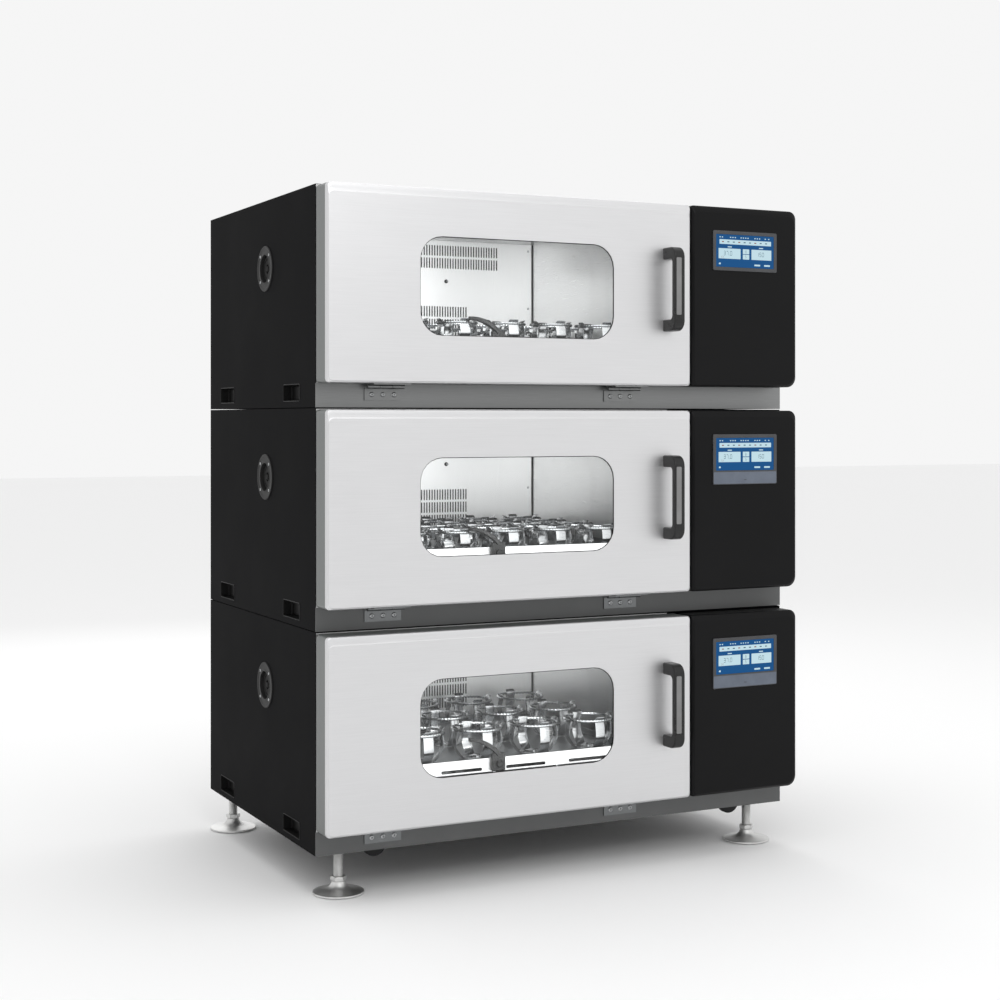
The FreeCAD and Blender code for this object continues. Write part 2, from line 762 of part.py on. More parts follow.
def crank(name):
    x, y = crank_places[name]
    is_main = name == "main"
    shaft_radius = main_shaft_radius if is_main else side_shaft_radius
    shaft_bottom = 2 * motor_bottom + 1 if is_main else side_housing_bottom + drive_plate + 1
    shaft = rod(shaft_radius, disc_bottom - shaft_bottom, vec(x, y, shaft_bottom), along_z)
    disc = rod(crank_disc_radius, crank_disc_height, vec(x, y, disc_bottom), along_z)
    pin = rod(crank_pin_radius, pin_top - disc_top, vec(x, y - crank_throw, disc_top), along_z)
    pieces = [shaft, disc, pin]
    if is_main:
        weight = rod(counterweight_radius, crank_disc_height, vec(x, y, disc_bottom), along_z)
        far_half = block(x - counterweight_radius, x + counterweight_radius, y, y + counterweight_radius,
                         disc_bottom, disc_top)
        pieces.append(weight.common(far_half))
    return joined(pieces)


def tray_edge(x0, x1, y0, y1):
    return block(x0, x1, y0, y1, tray_edge_bottom, tray_edge_top)


def tray():
    # A floor plate inside four edge strips, on a carriage of crossed beams with a boss over each crank pin
    x0 = chamber_middle - tray_width / 2
    x1 = x0 + tray_width
    y0 = tray_middle_y - tray_depth / 2
    y1 = y0 + tray_depth
    t = tray_sheet
    floor = block(x0 + t, x1 - t, y0 + t, y1 - t, tray_top - t, tray_top)
    front = tray_edge(x0, x1, y0, y0 + t)
    slot_z = tray_top - tray_slot_below
    for step in range(tray_slot_count):
        middle = chamber_middle + (step - (tray_slot_count - 1) / 2) * tray_slot_pitch
        front = front.cut(upright_plate(middle - tray_slot_length / 2, middle + tray_slot_length / 2,
                                        slot_z - tray_slot_height / 2, slot_z + tray_slot_height / 2,
                                        tray_slot_corner, y0, y0 + t))
    edges = [front, tray_edge(x0, x1, y1 - t, y1), tray_edge(x0, x0 + t, y0 + t, y1 - t),
             tray_edge(x1 - t, x1, y0 + t, y1 - t)]
    under = tray_top - t
    beams = []
    bosses = []
    bores = []
    main_x, main_y = crank_places["main"]
    side_y = crank_places["left"][1] - crank_throw
    half = carriage_beam_width / 2
    beam_bottom = under - carriage_beam_height
    beams.append(block(x0 + t, x1 - t, side_y - half, side_y + half, beam_bottom, under))
    beams.append(block(main_x - half, main_x + half, y0 + t, y1 - t, beam_bottom, under))
    for x, y in crank_places.values():
        pin_y = y - crank_throw
        bosses.append(rod(carriage_boss_radius, carriage_boss_height, vec(x, pin_y, boss_bottom), along_z))
        bores.append(rod(crank_pin_radius + running_play, pin_top + 1 - boss_bottom,
                         vec(x, pin_y, boss_bottom), along_z))
    carriage = without(joined(beams + bosses), bores)
    return [floor, carriage] + edges


def clamp_places(deck):
    columns, rows, radius, _ = clamp_sets[deck]
    pitch_x = tray_width / columns
    pitch_y = tray_depth / rows
    for row in range(rows):
        for column in range(columns):
            x = chamber_middle - tray_width / 2 + (column + 0.5) * pitch_x
            y = tray_middle_y - tray_depth / 2 + (row + 0.5) * pitch_y
            yield x, y


def clamp_solids(radius, height):
    # A foot disc and four spring arms, drawn about the origin with the tray's top at zero
    foot_radius = radius * clamp_base_share
    foot = rod(foot_radius, clamp_sheet, vec(0, 0, 0), along_z)
    waist = radius - clamp_lean
    outer = [(foot_radius, 0), (radius, height * clamp_knee_share), (waist, height - clamp_tip_rise),
             (waist + clamp_tip_out, height)]
    inner = [(x - clamp_sheet, z + clamp_inner_rise) for x, z in outer]
    points = [vec(x, 0, z) for x, z in outer + inner[::-1]]
    arm_face = Part.Face(Part.makePolygon(points + [points[0]]))
    arm = arm_face.extrude(vec(0, clamp_arm_width, 0)).translated(vec(0, -clamp_arm_width / 2, 0))
    arms = []
    for quarter in range(4):
        turned = arm.copy()
        turned.rotate(vec(0, 0, 0), along_z, 90 * quarter)
        arms.append(turned.cut(foot))
    return [foot] + arms


def flask_clamps(deck):
    _, _, radius, height = clamp_sets[deck]
    solids = []
    for x, y in clamp_places(deck):
        for solid in clamp_solids(radius, height):
            solids.append(solid.translated(vec(x, y, tray_top)))
    return solids


# ---- Fan ----

def fan_rotor():
    centre = vec(chamber_middle, fan_front, fan_height_at)
    disc = rod(fan_radius, fan_disc, centre + along_y * (fan_width - fan_disc), along_y)
    rim = pipe(fan_radius, fan_radius - 2 * fan_disc, fan_disc, centre, along_y)
    hub = rod(fan_hub_radius, fan_width, centre, along_y)
    shaft_end = liner_depth + insulation_play + insulation_board + fan_motor_length / 2
    shaft = rod(fan_shaft_radius, shaft_end - fan_front, centre, along_y)
    pieces = [disc, rim, hub, shaft]
    for step in range(fan_blades):
        blade = block(fan_blade_root, fan_radius - fan_disc, 0, fan_width, 0, fan_blade_sheet)
        blade.translate(vec(0, 0, -fan_blade_sheet / 2))
        blade.rotate(vec(fan_blade_root, 0, 0), along_y, fan_blade_turn)
        blade.rotate(vec(0, 0, 0), along_y, 360.0 * step / fan_blades)
        pieces.append(blade.translated(centre).common(rod(fan_radius, fan_width, centre, along_y)))
    return joined(pieces)


def climate_unit():
    motor_y = liner_depth + insulation_play + insulation_board
    motor_start = vec(chamber_middle, motor_y, fan_height_at)
    motor = rod(fan_motor_radius, fan_motor_length, motor_start, along_y)
    bore = rod(fan_shaft_radius + running_play, fan_motor_length / 2 + 1, motor_start, along_y)
    ring_centre = vec(chamber_middle, fan_front + fan_width / 2, fan_height_at)
    ring = Part.makeTorus(heater_ring_radius, heater_rod_radius, ring_centre, along_y)
    stays = []
    for sign in (-1, 1):
        x = chamber_middle + sign * heater_ring_radius
        stays.append(rod(heater_stay, liner_depth - liner_sheet - ring_centre.y,
                         vec(x, ring_centre.y, fan_height_at), along_y))
    return [motor.cut(bore), joined([ring] + stays)]


# ---- Feet and casters ----

def leveling_foot(x, y):
    # Turned about its own axis; heights count from the floor
    profile = [(0, 0), (foot_disc_radius, 0), (foot_disc_radius, foot_disc_edge),
               (foot_cone_radius, foot_cone_bottom), (foot_hub_radius, foot_hub_height),
               (0, foot_hub_height), (0, 0)]
    face = Part.Face(Part.makePolygon([vec(r, 0, z) for r, z in profile]))
    disc = face.revolve(vec(0, 0, 0), along_z, 360)
    stem = rod(foot_stem_radius, floor_gap + foot_stem_top - foot_hub_height, vec(0, 0, foot_hub_height),
               along_z)
    corners = []
    for step in range(7):
        angle = math.radians(60 * step)
        corners.append(vec(foot_nut_radius * math.cos(angle), foot_nut_radius * math.sin(angle),
                           foot_hub_height))
    nut = Part.Face(Part.makePolygon(corners)).extrude(vec(0, 0, foot_nut_height))
    foot = joined([disc, stem, nut])
    return foot.translated(vec(x, y, -floor_gap))


def caster_fork(x, y):
    head_top = base_bar_bottom - caster_plate - caster_side_play
    head_bottom = head_top - caster_head_height
    axle_z = caster_wheel_radius - caster_drop
    axle_x = x + caster_trail
    head = rod(caster_head_radius, caster_head_height, vec(x, y, head_bottom), along_z)
    stud = rod(caster_stud_radius, base_bar_bottom + base_bar_height - head_top, vec(x, y, head_top), along_z)
    half_gap = caster_wheel_width / 2 + caster_side_play
    half_leg = caster_leg_width / 2
    crown_half = half_gap + caster_leg_sheet
    crown = block(x - half_leg, axle_x + half_leg, y - crown_half, y + crown_half,
                  head_bottom - caster_leg_sheet, head_bottom)
    pieces = [head, stud, crown]
    for y0 in (y - crown_half, y + half_gap):
        leg = block(axle_x - half_leg, axle_x + half_leg, y0, y0 + caster_leg_sheet, axle_z, head_bottom)
        toe = rod(half_leg, caster_leg_sheet, vec(axle_x, y0, axle_z), along_y)
        pieces.extend([leg, toe])
    pieces.append(rod(caster_axle_radius, 2 * crown_half, vec(axle_x, y - crown_half, axle_z), along_y))
    return joined(pieces)


def caster_wheel(x, y):
    axle_z = caster_wheel_radius - caster_drop
    start = vec(x + caster_trail, y - caster_wheel_width / 2, axle_z)
    tyre = pipe(caster_wheel_radius, caster_axle_radius + running_play, caster_wheel_width, start, along_y)
    rims = [edge for edge in tyre.Edges if edge.BoundBox.XLength > caster_wheel_radius]
    return tyre.makeFillet(caster_tyre_round, rims)


# ---- Assembly ----

def placed(shapes, deck_number):
    offset = vec(place_x, place_y, floor_gap + deck_number * deck_height)
    if not isinstance(shapes, (list, tuple)):
        shapes = [shapes]
    return [shape.translated(offset) for shape in shapes]


def build_nodes():
    nodes = {}
    shared = {"cases": [], "chamber_liners": [], "insulation": [], "duct_panels": [], "front_sills": [],
              "control_covers": [], "touch_panels": [], "drive_units": [], "climate_units": [],
              "access_ports": [], "lift_grips": [], "power_units": []}
    panel = duct_panel()
    for number, deck in enumerate(deck_names):
        sill = front_sill()
        for centre in hinge_centres():
            sill += hinge_sill_leaf(centre)
        fixed = {"cases": case_panels(deck), "chamber_liners": chamber_liner(), "insulation": insulation(),
                 "duct_panels": [panel], "front_sills": sill, "control_covers": [control_cover(deck)],
                 "touch_panels": touch_panel(deck), "drive_units": drive_unit(),
                 "climate_units": climate_unit(), "access_ports": access_port(),
                 "lift_grips": lift_grips(), "power_units": power_unit()}
        for name, shapes in fixed.items():
            shared[name] += placed(shapes, number)
        moving = {"door_skin": door_skin(), "door_liner": door_liner(), "window_panes": window_panes(),
                  "door_seals": door_seals(), "door_handle": door_handle(),
                  "door_hinge_leaves": [hinge_door_leaf(centre) for centre in hinge_centres()],
                  "main_crank": crank("main"), "left_crank": crank("left"), "right_crank": crank("right"),
                  "tray": tray(), "flask_clamps": flask_clamps(deck), "fan_rotor": fan_rotor()}
        for name, shapes in moving.items():
            nodes[f"{deck}_{name}"] = placed(shapes, number)
    shared["cases"] += placed(base_frame(), 0)
    nodes.update(shared)
    for corner, x, y in foot_places():
        nodes[f"{corner}_foot"] = placed(leveling_foot(x, y), 0)
    for corner, x, y in caster_places():
        nodes[f"{corner}_caster_fork"] = placed(caster_fork(x, y), 0)
        nodes[f"{corner}_caster_wheel"] = placed(caster_wheel(x, y), 0)
    return nodes


os.makedirs("parts", exist_ok=True)
for name, shapes in build_nodes().items():
    shape = shapes[0] if len(shapes) == 1 else Part.makeCompound(shapes)
    shape.exportStep(f"parts/{name}.step")
    print(name, len(shape.Solids), round(shape.Volume / 1000.0, 1))
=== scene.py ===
import math

import bmesh
import bpy
from mathutils import Matrix, Vector


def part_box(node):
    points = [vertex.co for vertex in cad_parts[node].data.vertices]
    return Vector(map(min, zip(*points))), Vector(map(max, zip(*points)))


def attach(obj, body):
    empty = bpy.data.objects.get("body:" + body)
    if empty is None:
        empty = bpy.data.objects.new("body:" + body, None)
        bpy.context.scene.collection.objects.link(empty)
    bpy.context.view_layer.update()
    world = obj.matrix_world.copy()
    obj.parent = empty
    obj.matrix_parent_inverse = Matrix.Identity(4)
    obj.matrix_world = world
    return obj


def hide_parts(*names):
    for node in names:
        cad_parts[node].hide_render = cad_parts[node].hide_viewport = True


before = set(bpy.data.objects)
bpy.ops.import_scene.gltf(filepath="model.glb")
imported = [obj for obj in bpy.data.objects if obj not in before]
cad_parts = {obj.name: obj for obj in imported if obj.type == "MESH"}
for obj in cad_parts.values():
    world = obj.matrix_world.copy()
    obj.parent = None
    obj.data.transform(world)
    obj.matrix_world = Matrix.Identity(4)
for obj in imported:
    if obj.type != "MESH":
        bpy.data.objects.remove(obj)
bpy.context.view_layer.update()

# Three shaking incubators stacked on levelling feet: the looks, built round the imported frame.
# Sizes are millimetres from the front left bottom corner of each deck's case, unless a line says otherwise.

deckNames = ("bottom", "middle", "top")
caseLow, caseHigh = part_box("cases")
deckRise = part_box("middle_door_skin")[0].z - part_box("bottom_door_skin")[0].z
deckOrigins = {deck: caseLow + Vector((0, 0, number * deckRise)) for number, deck in enumerate(deckNames)}
caseWidth = (caseHigh.x - caseLow.x) * 1000
caseDepth = (caseHigh.y - caseLow.y) * 1000
caseTop = (caseHigh.z - caseLow.z - 2 * deckRise) * 1000


def spanOf(node, origin):
    # x0, x1, y0, y1, z0, z1 of a node in millimetres from an origin
    low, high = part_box(node)
    low = (low - origin) * 1000
    high = (high - origin) * 1000
    return low.x, high.x, low.y, high.y, low.z, high.z


cameraPlace = {"left": 1414.3, "ahead": 3828.5, "height": 1029.8, "turn": 26.6, "lens": 61.92, "sensor": 36,
               "shiftX": -0.00607, "shiftY": -0.0799}


def placeCamera():
    camera = bpy.data.objects.new("camera", bpy.data.cameras.new("camera"))
    bpy.context.scene.collection.objects.link(camera)
    offset = Vector((-cameraPlace["left"], -cameraPlace["ahead"], cameraPlace["height"]))
    camera.location = caseLow + offset / 1000
    camera.rotation_euler = (math.radians(90), 0, math.radians(-cameraPlace["turn"]))
    camera.data.lens = cameraPlace["lens"]
    camera.data.sensor_width = cameraPlace["sensor"]
    camera.data.shift_x = cameraPlace["shiftX"]
    camera.data.shift_y = cameraPlace["shiftY"]
    bpy.context.scene.camera = camera


# Size in metres, power in watts, place and aim in metres from the middle of the machine's foot
studioLights = {
    "key": {"size": (2.4, 2.4), "power": 34, "place": (-0.5, -3.6, 3.4), "aim": (0, 0, 1.3)},
    "fill": {"size": (2.5, 3.5), "power": 8, "place": (3.8, -3.6, 2.2), "aim": (0, 0, 0.8)},
    "above": {"size": (3.5, 3.5), "power": 30, "place": (0.4, 0.6, 4.6), "aim": (0, 0, 0)},
    "behind": {"size": (3.0, 2.0), "power": 22, "place": (0.5, 4.5, 2.6), "aim": (0, 0, 0.9)},
}


def aimLight(name, size, power, place, aim):
    data = bpy.data.lights.new(name, "AREA")
    data.shape = "RECTANGLE"
    data.size, data.size_y = size
    data.energy = power
    light = bpy.data.objects.new(name, data)
    bpy.context.scene.collection.objects.link(light)
    light.location = place
    light.rotation_euler = (Vector(aim) - Vector(place)).to_track_quat("-Z", "Y").to_euler()
    return light


worldStrength = 0.92


def lightStudio():
    world = bpy.data.worlds.new("studio")
    world.use_nodes = True
    background = world.node_tree.nodes["Background"]
    background.inputs["Color"].default_value = (1, 1, 1, 1)
    background.inputs["Strength"].default_value = worldStrength
    bpy.context.scene.world = world
    bpy.context.scene.view_settings.view_transform = "Standard"
    for name, values in studioLights.items():
        aimLight(name, **values)


# Lamp strip at the ceiling, and the daylight that comes in through the window, in metres and watts.
# The places are depth and height in millimetres.
chamberLights = {"lampSize": (0.75, 0.03), "lampPower": 0.4, "lampPlace": (60, 478),
                 "lampAim": (0, 0.3, -0.3), "daySize": (0.86, 0.34), "daySpread": 140, "dayPlace": (45, 292),
                 "dayAim": (0, 1, -0.25), "dayPower": {"bottom": 1.7, "middle": 1.6, "top": 1.7}}


def lightChambers():
    for deck in deckNames:
        x0, x1, _, _, _, _ = spanOf("chamber_liners", deckOrigins[deck])
        middle = (x0 + x1) / 2
        lamp = deckOrigins[deck] + Vector((middle, *chamberLights["lampPlace"])) / 1000
        day = deckOrigins[deck] + Vector((middle, *chamberLights["dayPlace"])) / 1000
        aimLight(f"{deck}ChamberLamp", chamberLights["lampSize"], chamberLights["lampPower"], lamp,
                 lamp + Vector(chamberLights["lampAim"]))
        window = aimLight(f"{deck}WindowDaylight", chamberLights["daySize"], chamberLights["dayPower"][deck],
                          day, day + Vector(chamberLights["dayAim"]))
        window.data.spread = math.radians(chamberLights["daySpread"])


def linear(hexColour):
    # sRGB hex to the linear colour that a shader takes
    channels = []
    for start in (1, 3, 5):
        value = int(hexColour[start:start + 2], 16) / 255
        channels.append(value / 12.92 if value <= 0.04045 else ((value + 0.055) / 1.055) ** 2.4)
    return (*channels, 1.0)


def addNode(tree, kind, inputs=None, **settings):
    node = tree.nodes.new("ShaderNode" + kind)
    for name, value in settings.items():
        setattr(node, name, value)
    for name, value in (inputs or {}).items():
        if isinstance(value, bpy.types.NodeSocket):
            tree.links.new(value, node.inputs[name])
        else:
            node.inputs[name].default_value = value
    return node


def startFinish(name, **values):
    # A material with its principled shader, whose constant values sit on the shader's own sockets
    material = bpy.data.materials.new(name)
    material.use_nodes = True
    tree = material.node_tree
    shader = tree.nodes["Principled BSDF"]
    for key, value in values.items():
        words = "".join(" " + letter if letter.isupper() else letter for letter in key).title()
        shader.inputs[words.replace("Ior", "IOR")].default_value = value
    place = addNode(tree, "TexCoord").outputs["Object"]
    return material, tree, shader, place


# Stretch of the noise that the tints and the roughness spread over
noiseSpan = {"From Min": 0.3, "From Max": 0.7}


def tintAndWear(tree, shader, place, light, dark, patch, rough, roughSpread):
    # Slow drift between two near shades, and of roughness, in patches of a real size in millimetres
    clouds = addNode(tree, "TexNoise", {"Vector": place, "Scale": 1000 / patch, "Detail": 3.0})
    shade = addNode(tree, "MapRange", {"Value": clouds.outputs["Fac"], **noiseSpan})
    mix = addNode(tree, "Mix", {"Factor": shade.outputs["Result"], "A": linear(dark), "B": linear(light)},
                  data_type="RGBA")
    tree.links.new(mix.outputs["Result"], shader.inputs["Base Color"])
    gloss = addNode(tree, "MapRange", {"Value": clouds.outputs["Fac"], **noiseSpan,
                                       "To Min": rough - roughSpread, "To Max": rough + roughSpread})
    tree.links.new(gloss.outputs["Result"], shader.inputs["Roughness"])
    return clouds


def powderCoat(name, light, dark, rough=0.5, peel=2.2, relief=0.12, **values):
    # Powder sprayed and baked on sheet steel: satin, with a fine orange peel that breaks up highlights
    material, tree, shader, place = startFinish(name, **values)
    tintAndWear(tree, shader, place, light, dark, patch=180, rough=rough, roughSpread=0.04)
    peelNoise = addNode(tree, "TexNoise", {"Vector": place, "Scale": 1000 / peel, "Detail": 1.0})
    bump = addNode(tree, "Bump", {"Height": peelNoise.outputs["Fac"], "Strength": relief,
                                  "Distance": 0.0004})
    tree.links.new(bump.outputs["Normal"], shader.inputs["Normal"])
    return material


def brushedSheet(name, light, dark, rough=0.34, hair=1.6, length=60, along="x", relief=0.06, metallic=1.0):
    # Stainless sheet ground with a belt: hairlines one way, drawn about five times as coarse as real
    # ones so that they show, which spread highlights across the grain
    material, tree, shader, place = startFinish(name, metallic=metallic)
    scale = [length / hair] * 3
    scale["xyz".index(along)] = 1.0
    stretched = addNode(tree, "Mapping", {"Vector": place, "Scale": scale})
    hairs = tintAndWear(tree, shader, stretched.outputs["Vector"], light, dark, patch=length, rough=rough,
                        roughSpread=0.05)
    bump = addNode(tree, "Bump", {"Height": hairs.outputs["Fac"], "Strength": relief, "Distance": 0.0003})
    tree.links.new(bump.outputs["Normal"], shader.inputs["Normal"])
    return material


def mouldedPlastic(name, light, dark, rough=0.45, grain=0.9, relief=0.15, **values):
    # Moulded against a spark-eroded tool: a fine even texture under a dull shine
    material, tree, shader, place = startFinish(name, ior=1.5, **values)
    tintAndWear(tree, shader, place, light, dark, patch=40, rough=rough, roughSpread=0.04)
    pits = addNode(tree, "TexVoronoi", {"Vector": place, "Scale": 1000 / grain})
    bump = addNode(tree, "Bump", {"Height": pits.outputs["Distance"], "Strength": relief,
                                  "Distance": 0.0002})
    tree.links.new(bump.outputs["Normal"], shader.inputs["Normal"])
    return material


def turnedMetal(name, light, dark, rough=0.22, ridge=0.6, relief=0.08):
    # Turned on a lathe and polished: bright, with faint rings round the axis seen as short bands
    material, tree, shader, place = startFinish(name, metallic=1.0)
    tintAndWear(tree, shader, place, light, dark, patch=25, rough=rough, roughSpread=0.05)
    rings = addNode(tree, "TexWave", {"Vector": place, "Scale": 1000 / ridge / 6.28, "Distortion": 1.5,
                                      "Detail": 2.0}, bands_direction="Z")
    bump = addNode(tree, "Bump", {"Height": rings.outputs["Fac"], "Strength": relief, "Distance": 0.0002})
    tree.links.new(bump.outputs["Normal"], shader.inputs["Normal"])
    return material


def clearGlass(name):
    # Toughened float glass. Its index is lower than real glass has, so that the windows stay clear
    material, tree, shader, place = startFinish(name, ior=1.25, transmissionWeight=1.0)
    shader.inputs["Base Color"].default_value = linear("#fdfefe")
    smear = addNode(tree, "TexNoise", {"Vector": place, "Scale": 1000 / 90, "Detail": 2.0})
    haze = addNode(tree, "MapRange", {"Value": smear.outputs["Fac"], "To Min": 0.0, "To Max": 0.03})
    tree.links.new(haze.outputs["Result"], shader.inputs["Roughness"])
    return material


def backlit(name, colour, shade, strength):
    # Light from behind a liquid-crystal layer: even glow, with the dot rows drawn 0.8 mm apart to show
    material, tree, shader, place = startFinish(name, ior=1.5, roughness=0.18, emissionStrength=strength,
                                                specularIorLevel=0.1)
    dots = addNode(tree, "TexWave", {"Vector": place, "Scale": 1000 / 0.8 / 6.28}, bands_direction="Z")
    mix = addNode(tree, "Mix", {"Factor": dots.outputs["Fac"], "A": linear(colour), "B": linear(shade)},
                  data_type="RGBA")
    shader.inputs["Base Color"].default_value = linear("#050608")
    tree.links.new(mix.outputs["Result"], shader.inputs["Emission Color"])
    return material


def foamBoard(name, light, dark, cell=6):
    # Pressed mineral wool: matt, with loose flecks and an uneven face
    material, tree, shader, place = startFinish(name, ior=1.45, roughness=0.95)
    tintAndWear(tree, shader, place, light, dark, patch=15, rough=0.93, roughSpread=0.04)
    cells = addNode(tree, "TexNoise", {"Vector": place, "Scale": 1000 / cell, "Detail": 6.0})
    bump = addNode(tree, "Bump", {"Height": cells.outputs["Fac"], "Strength": 0.5, "Distance": 0.002})
    tree.links.new(bump.outputs["Normal"], shader.inputs["Normal"])
    return material


caseCoat = powderCoat("blackPowderCoatedSteel", "#151516", "#101011", rough=0.6, specularIorLevel=0.02)
coverCoat = powderCoat("blackPowderCoatedCover", "#0d0d0e", "#0a0a0b", rough=0.42, peel=1.8,
                       specularIorLevel=0.14)
doorSteel = brushedSheet("brushedDoorSteel", "#dbdbdc", "#d6d6d7", rough=0.44, length=90)
doorEdgeCoat = powderCoat("greyCoatedDoorEdge", "#6f7271", "#666968", rough=0.38, metallic=0.35)
doorInnerSteel = brushedSheet("brushedDoorLiner", "#cfd1d2", "#c3c5c6", rough=0.36)
chamberSteel = brushedSheet("brushedChamberSteel", "#d9d9d9", "#cfcfcf", rough=0.32, along="y")
ductSteel = brushedSheet("brushedDuctSteel", "#e2e2e2", "#dadada", rough=0.4, along="z")
# Black sheet behind the duct slots: painted shade
slotShadeSheet = mouldedPlastic("blackSlotShadeSheet", "#0c0c0c", "#080808", rough=0.8, specularIorLevel=0.1)
sillCoat = powderCoat("greyCoatedSill", "#626363", "#5a5b5b", rough=0.4, metallic=0.5)
# Lighter copy of the sill steel for the top deck's sill and hinge leaves: painted light, for the light that
# falls on the top sill
litTopSillSteel = brushedSheet("brushedSillSteelPaintedLight", "#8b8c8c", "#828383", rough=0.4)
hingeSteel = brushedSheet("brushedHingeSteel", "#7d7f80", "#707273", rough=0.36, hair=0.8, length=30)
screwSteel = turnedMetal("platedScrewSteel", "#b9babb", "#9fa1a2", rough=0.3)
windowGlass = clearGlass("toughenedGlass")
sealRubber = mouldedPlastic("blackSiliconeRubber", "#161616", "#101010", rough=0.62, relief=0.08,
                            specularIorLevel=0.25)
handleNylon = mouldedPlastic("filledNylonHandle", "#202020", "#1a1a1a", rough=0.3, grain=0.7, relief=0.1,
                             specularIorLevel=0.35)
gripInsert = mouldedPlastic("greyGripInsert", "#7e7e7e", "#747474", rough=0.5)
bezelPlastic = mouldedPlastic("greyBezelPlastic", "#3f4043", "#37383b", rough=0.4, relief=0.06)
barPlastic = mouldedPlastic("blueGreyBezelBar", "#606875", "#565e6b", rough=0.42, relief=0.06)
screenBlue = backlit("backlitBlueScreen", "#12568f", "#0e487c", 1.0)
screenWhite = backlit("backlitPaleField", "#cfe8f0", "#bcdbe6", 0.95)
screenInk = backlit("backlitDarkFigures", "#3f6276", "#35586c", 0.9)
screenRed = backlit("backlitRedFigures", "#9c5a48", "#8c4c3c", 0.9)
# Lit and shaded copies of the tray's metal: the floor is the darker copy, painted shade, and the rim the
# lighter copy, painted light on its front
trayFloorShadedMetal = brushedSheet("trayFloorPaintedShade", "#8d8f91", "#808284", rough=0.34, hair=1.2)
trayRim = brushedSheet("trayRimPaintedLight", "#dcdcdc", "#d0d0d0", rough=0.4, hair=1.2)
clampSteel = brushedSheet("polishedClampSteel", "#9fa0a1", "#8d8e8f", rough=0.17, hair=0.8, length=20,
                          relief=0.03)
springSteel = turnedMetal("drawnSpringSteel", "#c4c6c7", "#adafb1", rough=0.24)
leverCoat = powderCoat("blackCoatedLever", "#1c1c1c", "#161616", rough=0.35, peel=1.4, specularIorLevel=0.3)
footSteel = turnedMetal("turnedFootSteel", "#e0e0df", "#d0d0cf", rough=0.48)
footRubber = mouldedPlastic("blackFootRubber", "#1a1a1a", "#131313", rough=0.7)
casterTyre = mouldedPlastic("blackCasterTyre", "#1c1c1d", "#151516", rough=0.5, specularIorLevel=0.25)
casterSteel = turnedMetal("zincPlatedCasterSteel", "#b4b6b8", "#9c9ea1", rough=0.3)
fittingPlastic = mouldedPlastic("blackFittingPlastic", "#262626", "#202020", rough=0.5, specularIorLevel=0.2)
plugSilicone = mouldedPlastic("darkSiliconePlug", "#1a1a1a", "#151515", rough=0.66, specularIorLevel=0.2)
gripPlastic = mouldedPlastic("blackGripPlastic", "#0d0d0d", "#090909", rough=0.5, specularIorLevel=0.2)
boardWool = foamBoard("mineralWoolBoard", "#cfc9b4", "#b9b29b")
castAluminium = powderCoat("castDriveAluminium", "#a4a7a9", "#96999b", rough=0.42, peel=1.2, relief=0.3,
                           metallic=1.0)
crankSteel = turnedMetal("groundCrankSteel", "#bfc0c1", "#a6a8a9", rough=0.24)
fanAluminium = brushedSheet("pressedFanAluminium", "#c9cbcc", "#babcbe", rough=0.35)
housingSteel = brushedSheet("galvanisedHousing", "#b2b5b7", "#9da0a2", rough=0.42, hair=6, length=9)
lampDiffuser = backlit("opalLampDiffuser", "#fbfbf7", "#f0f0ea", 1.5)
contactBrass = turnedMetal("nickelledContacts", "#cfc9b8", "#b8b19d", rough=0.25)

print("finishes made", len(bpy.data.materials))


def outline(x0, x1, z0, z1, radius, steps=6):
    # Rounded rectangle; radius may be four values: bottom right, top right, top left, bottom left
    radii = radius if isinstance(radius, tuple) else (radius,) * 4
    corners = ((x1, z0, -1, 1, -90), (x1, z1, -1, -1, 0), (x0, z1, 1, -1, 90), (x0, z0, 1, 1, 180))
    points = []
    for r, (cx, cz, signX, signZ, start) in zip(radii, corners):
        for step in range(steps + 1):
            angle = math.radians(start + 90 * step / steps)
            points.append((cx + signX * r + r * math.cos(angle), cz + signZ * r + r * math.sin(angle)))
    return points


def frontRing(x0, x1, z0, z1, radius, y, steps=6):
    return [(x, y, z) for x, z in outline(x0, x1, z0, z1, radius, steps)]


def sideRing(y0, y1, z0, z1, radius, x, steps=6):
    return [(x, y, z) for y, z in outline(y0, y1, z0, z1, radius, steps)]


# Shares of a screw head's radius and height, from its foot to its rim, and of a nut's half width
fastener = {"dome": ((1, 0), (1, 0.35), (0.86, 0.8), (0.66, 1)), "socket": 0.42, "socketFloor": 0.35,
            "hexEase": 0.96, "steps": 24}


def hexReach(halfAcross, limit):
    # How far out a hexagon's flats lie at an angle, and no further than a limit
    def reach(angle):
        return min(halfAcross / math.cos(angle % (math.pi / 3) - math.pi / 6), limit)

    return reach


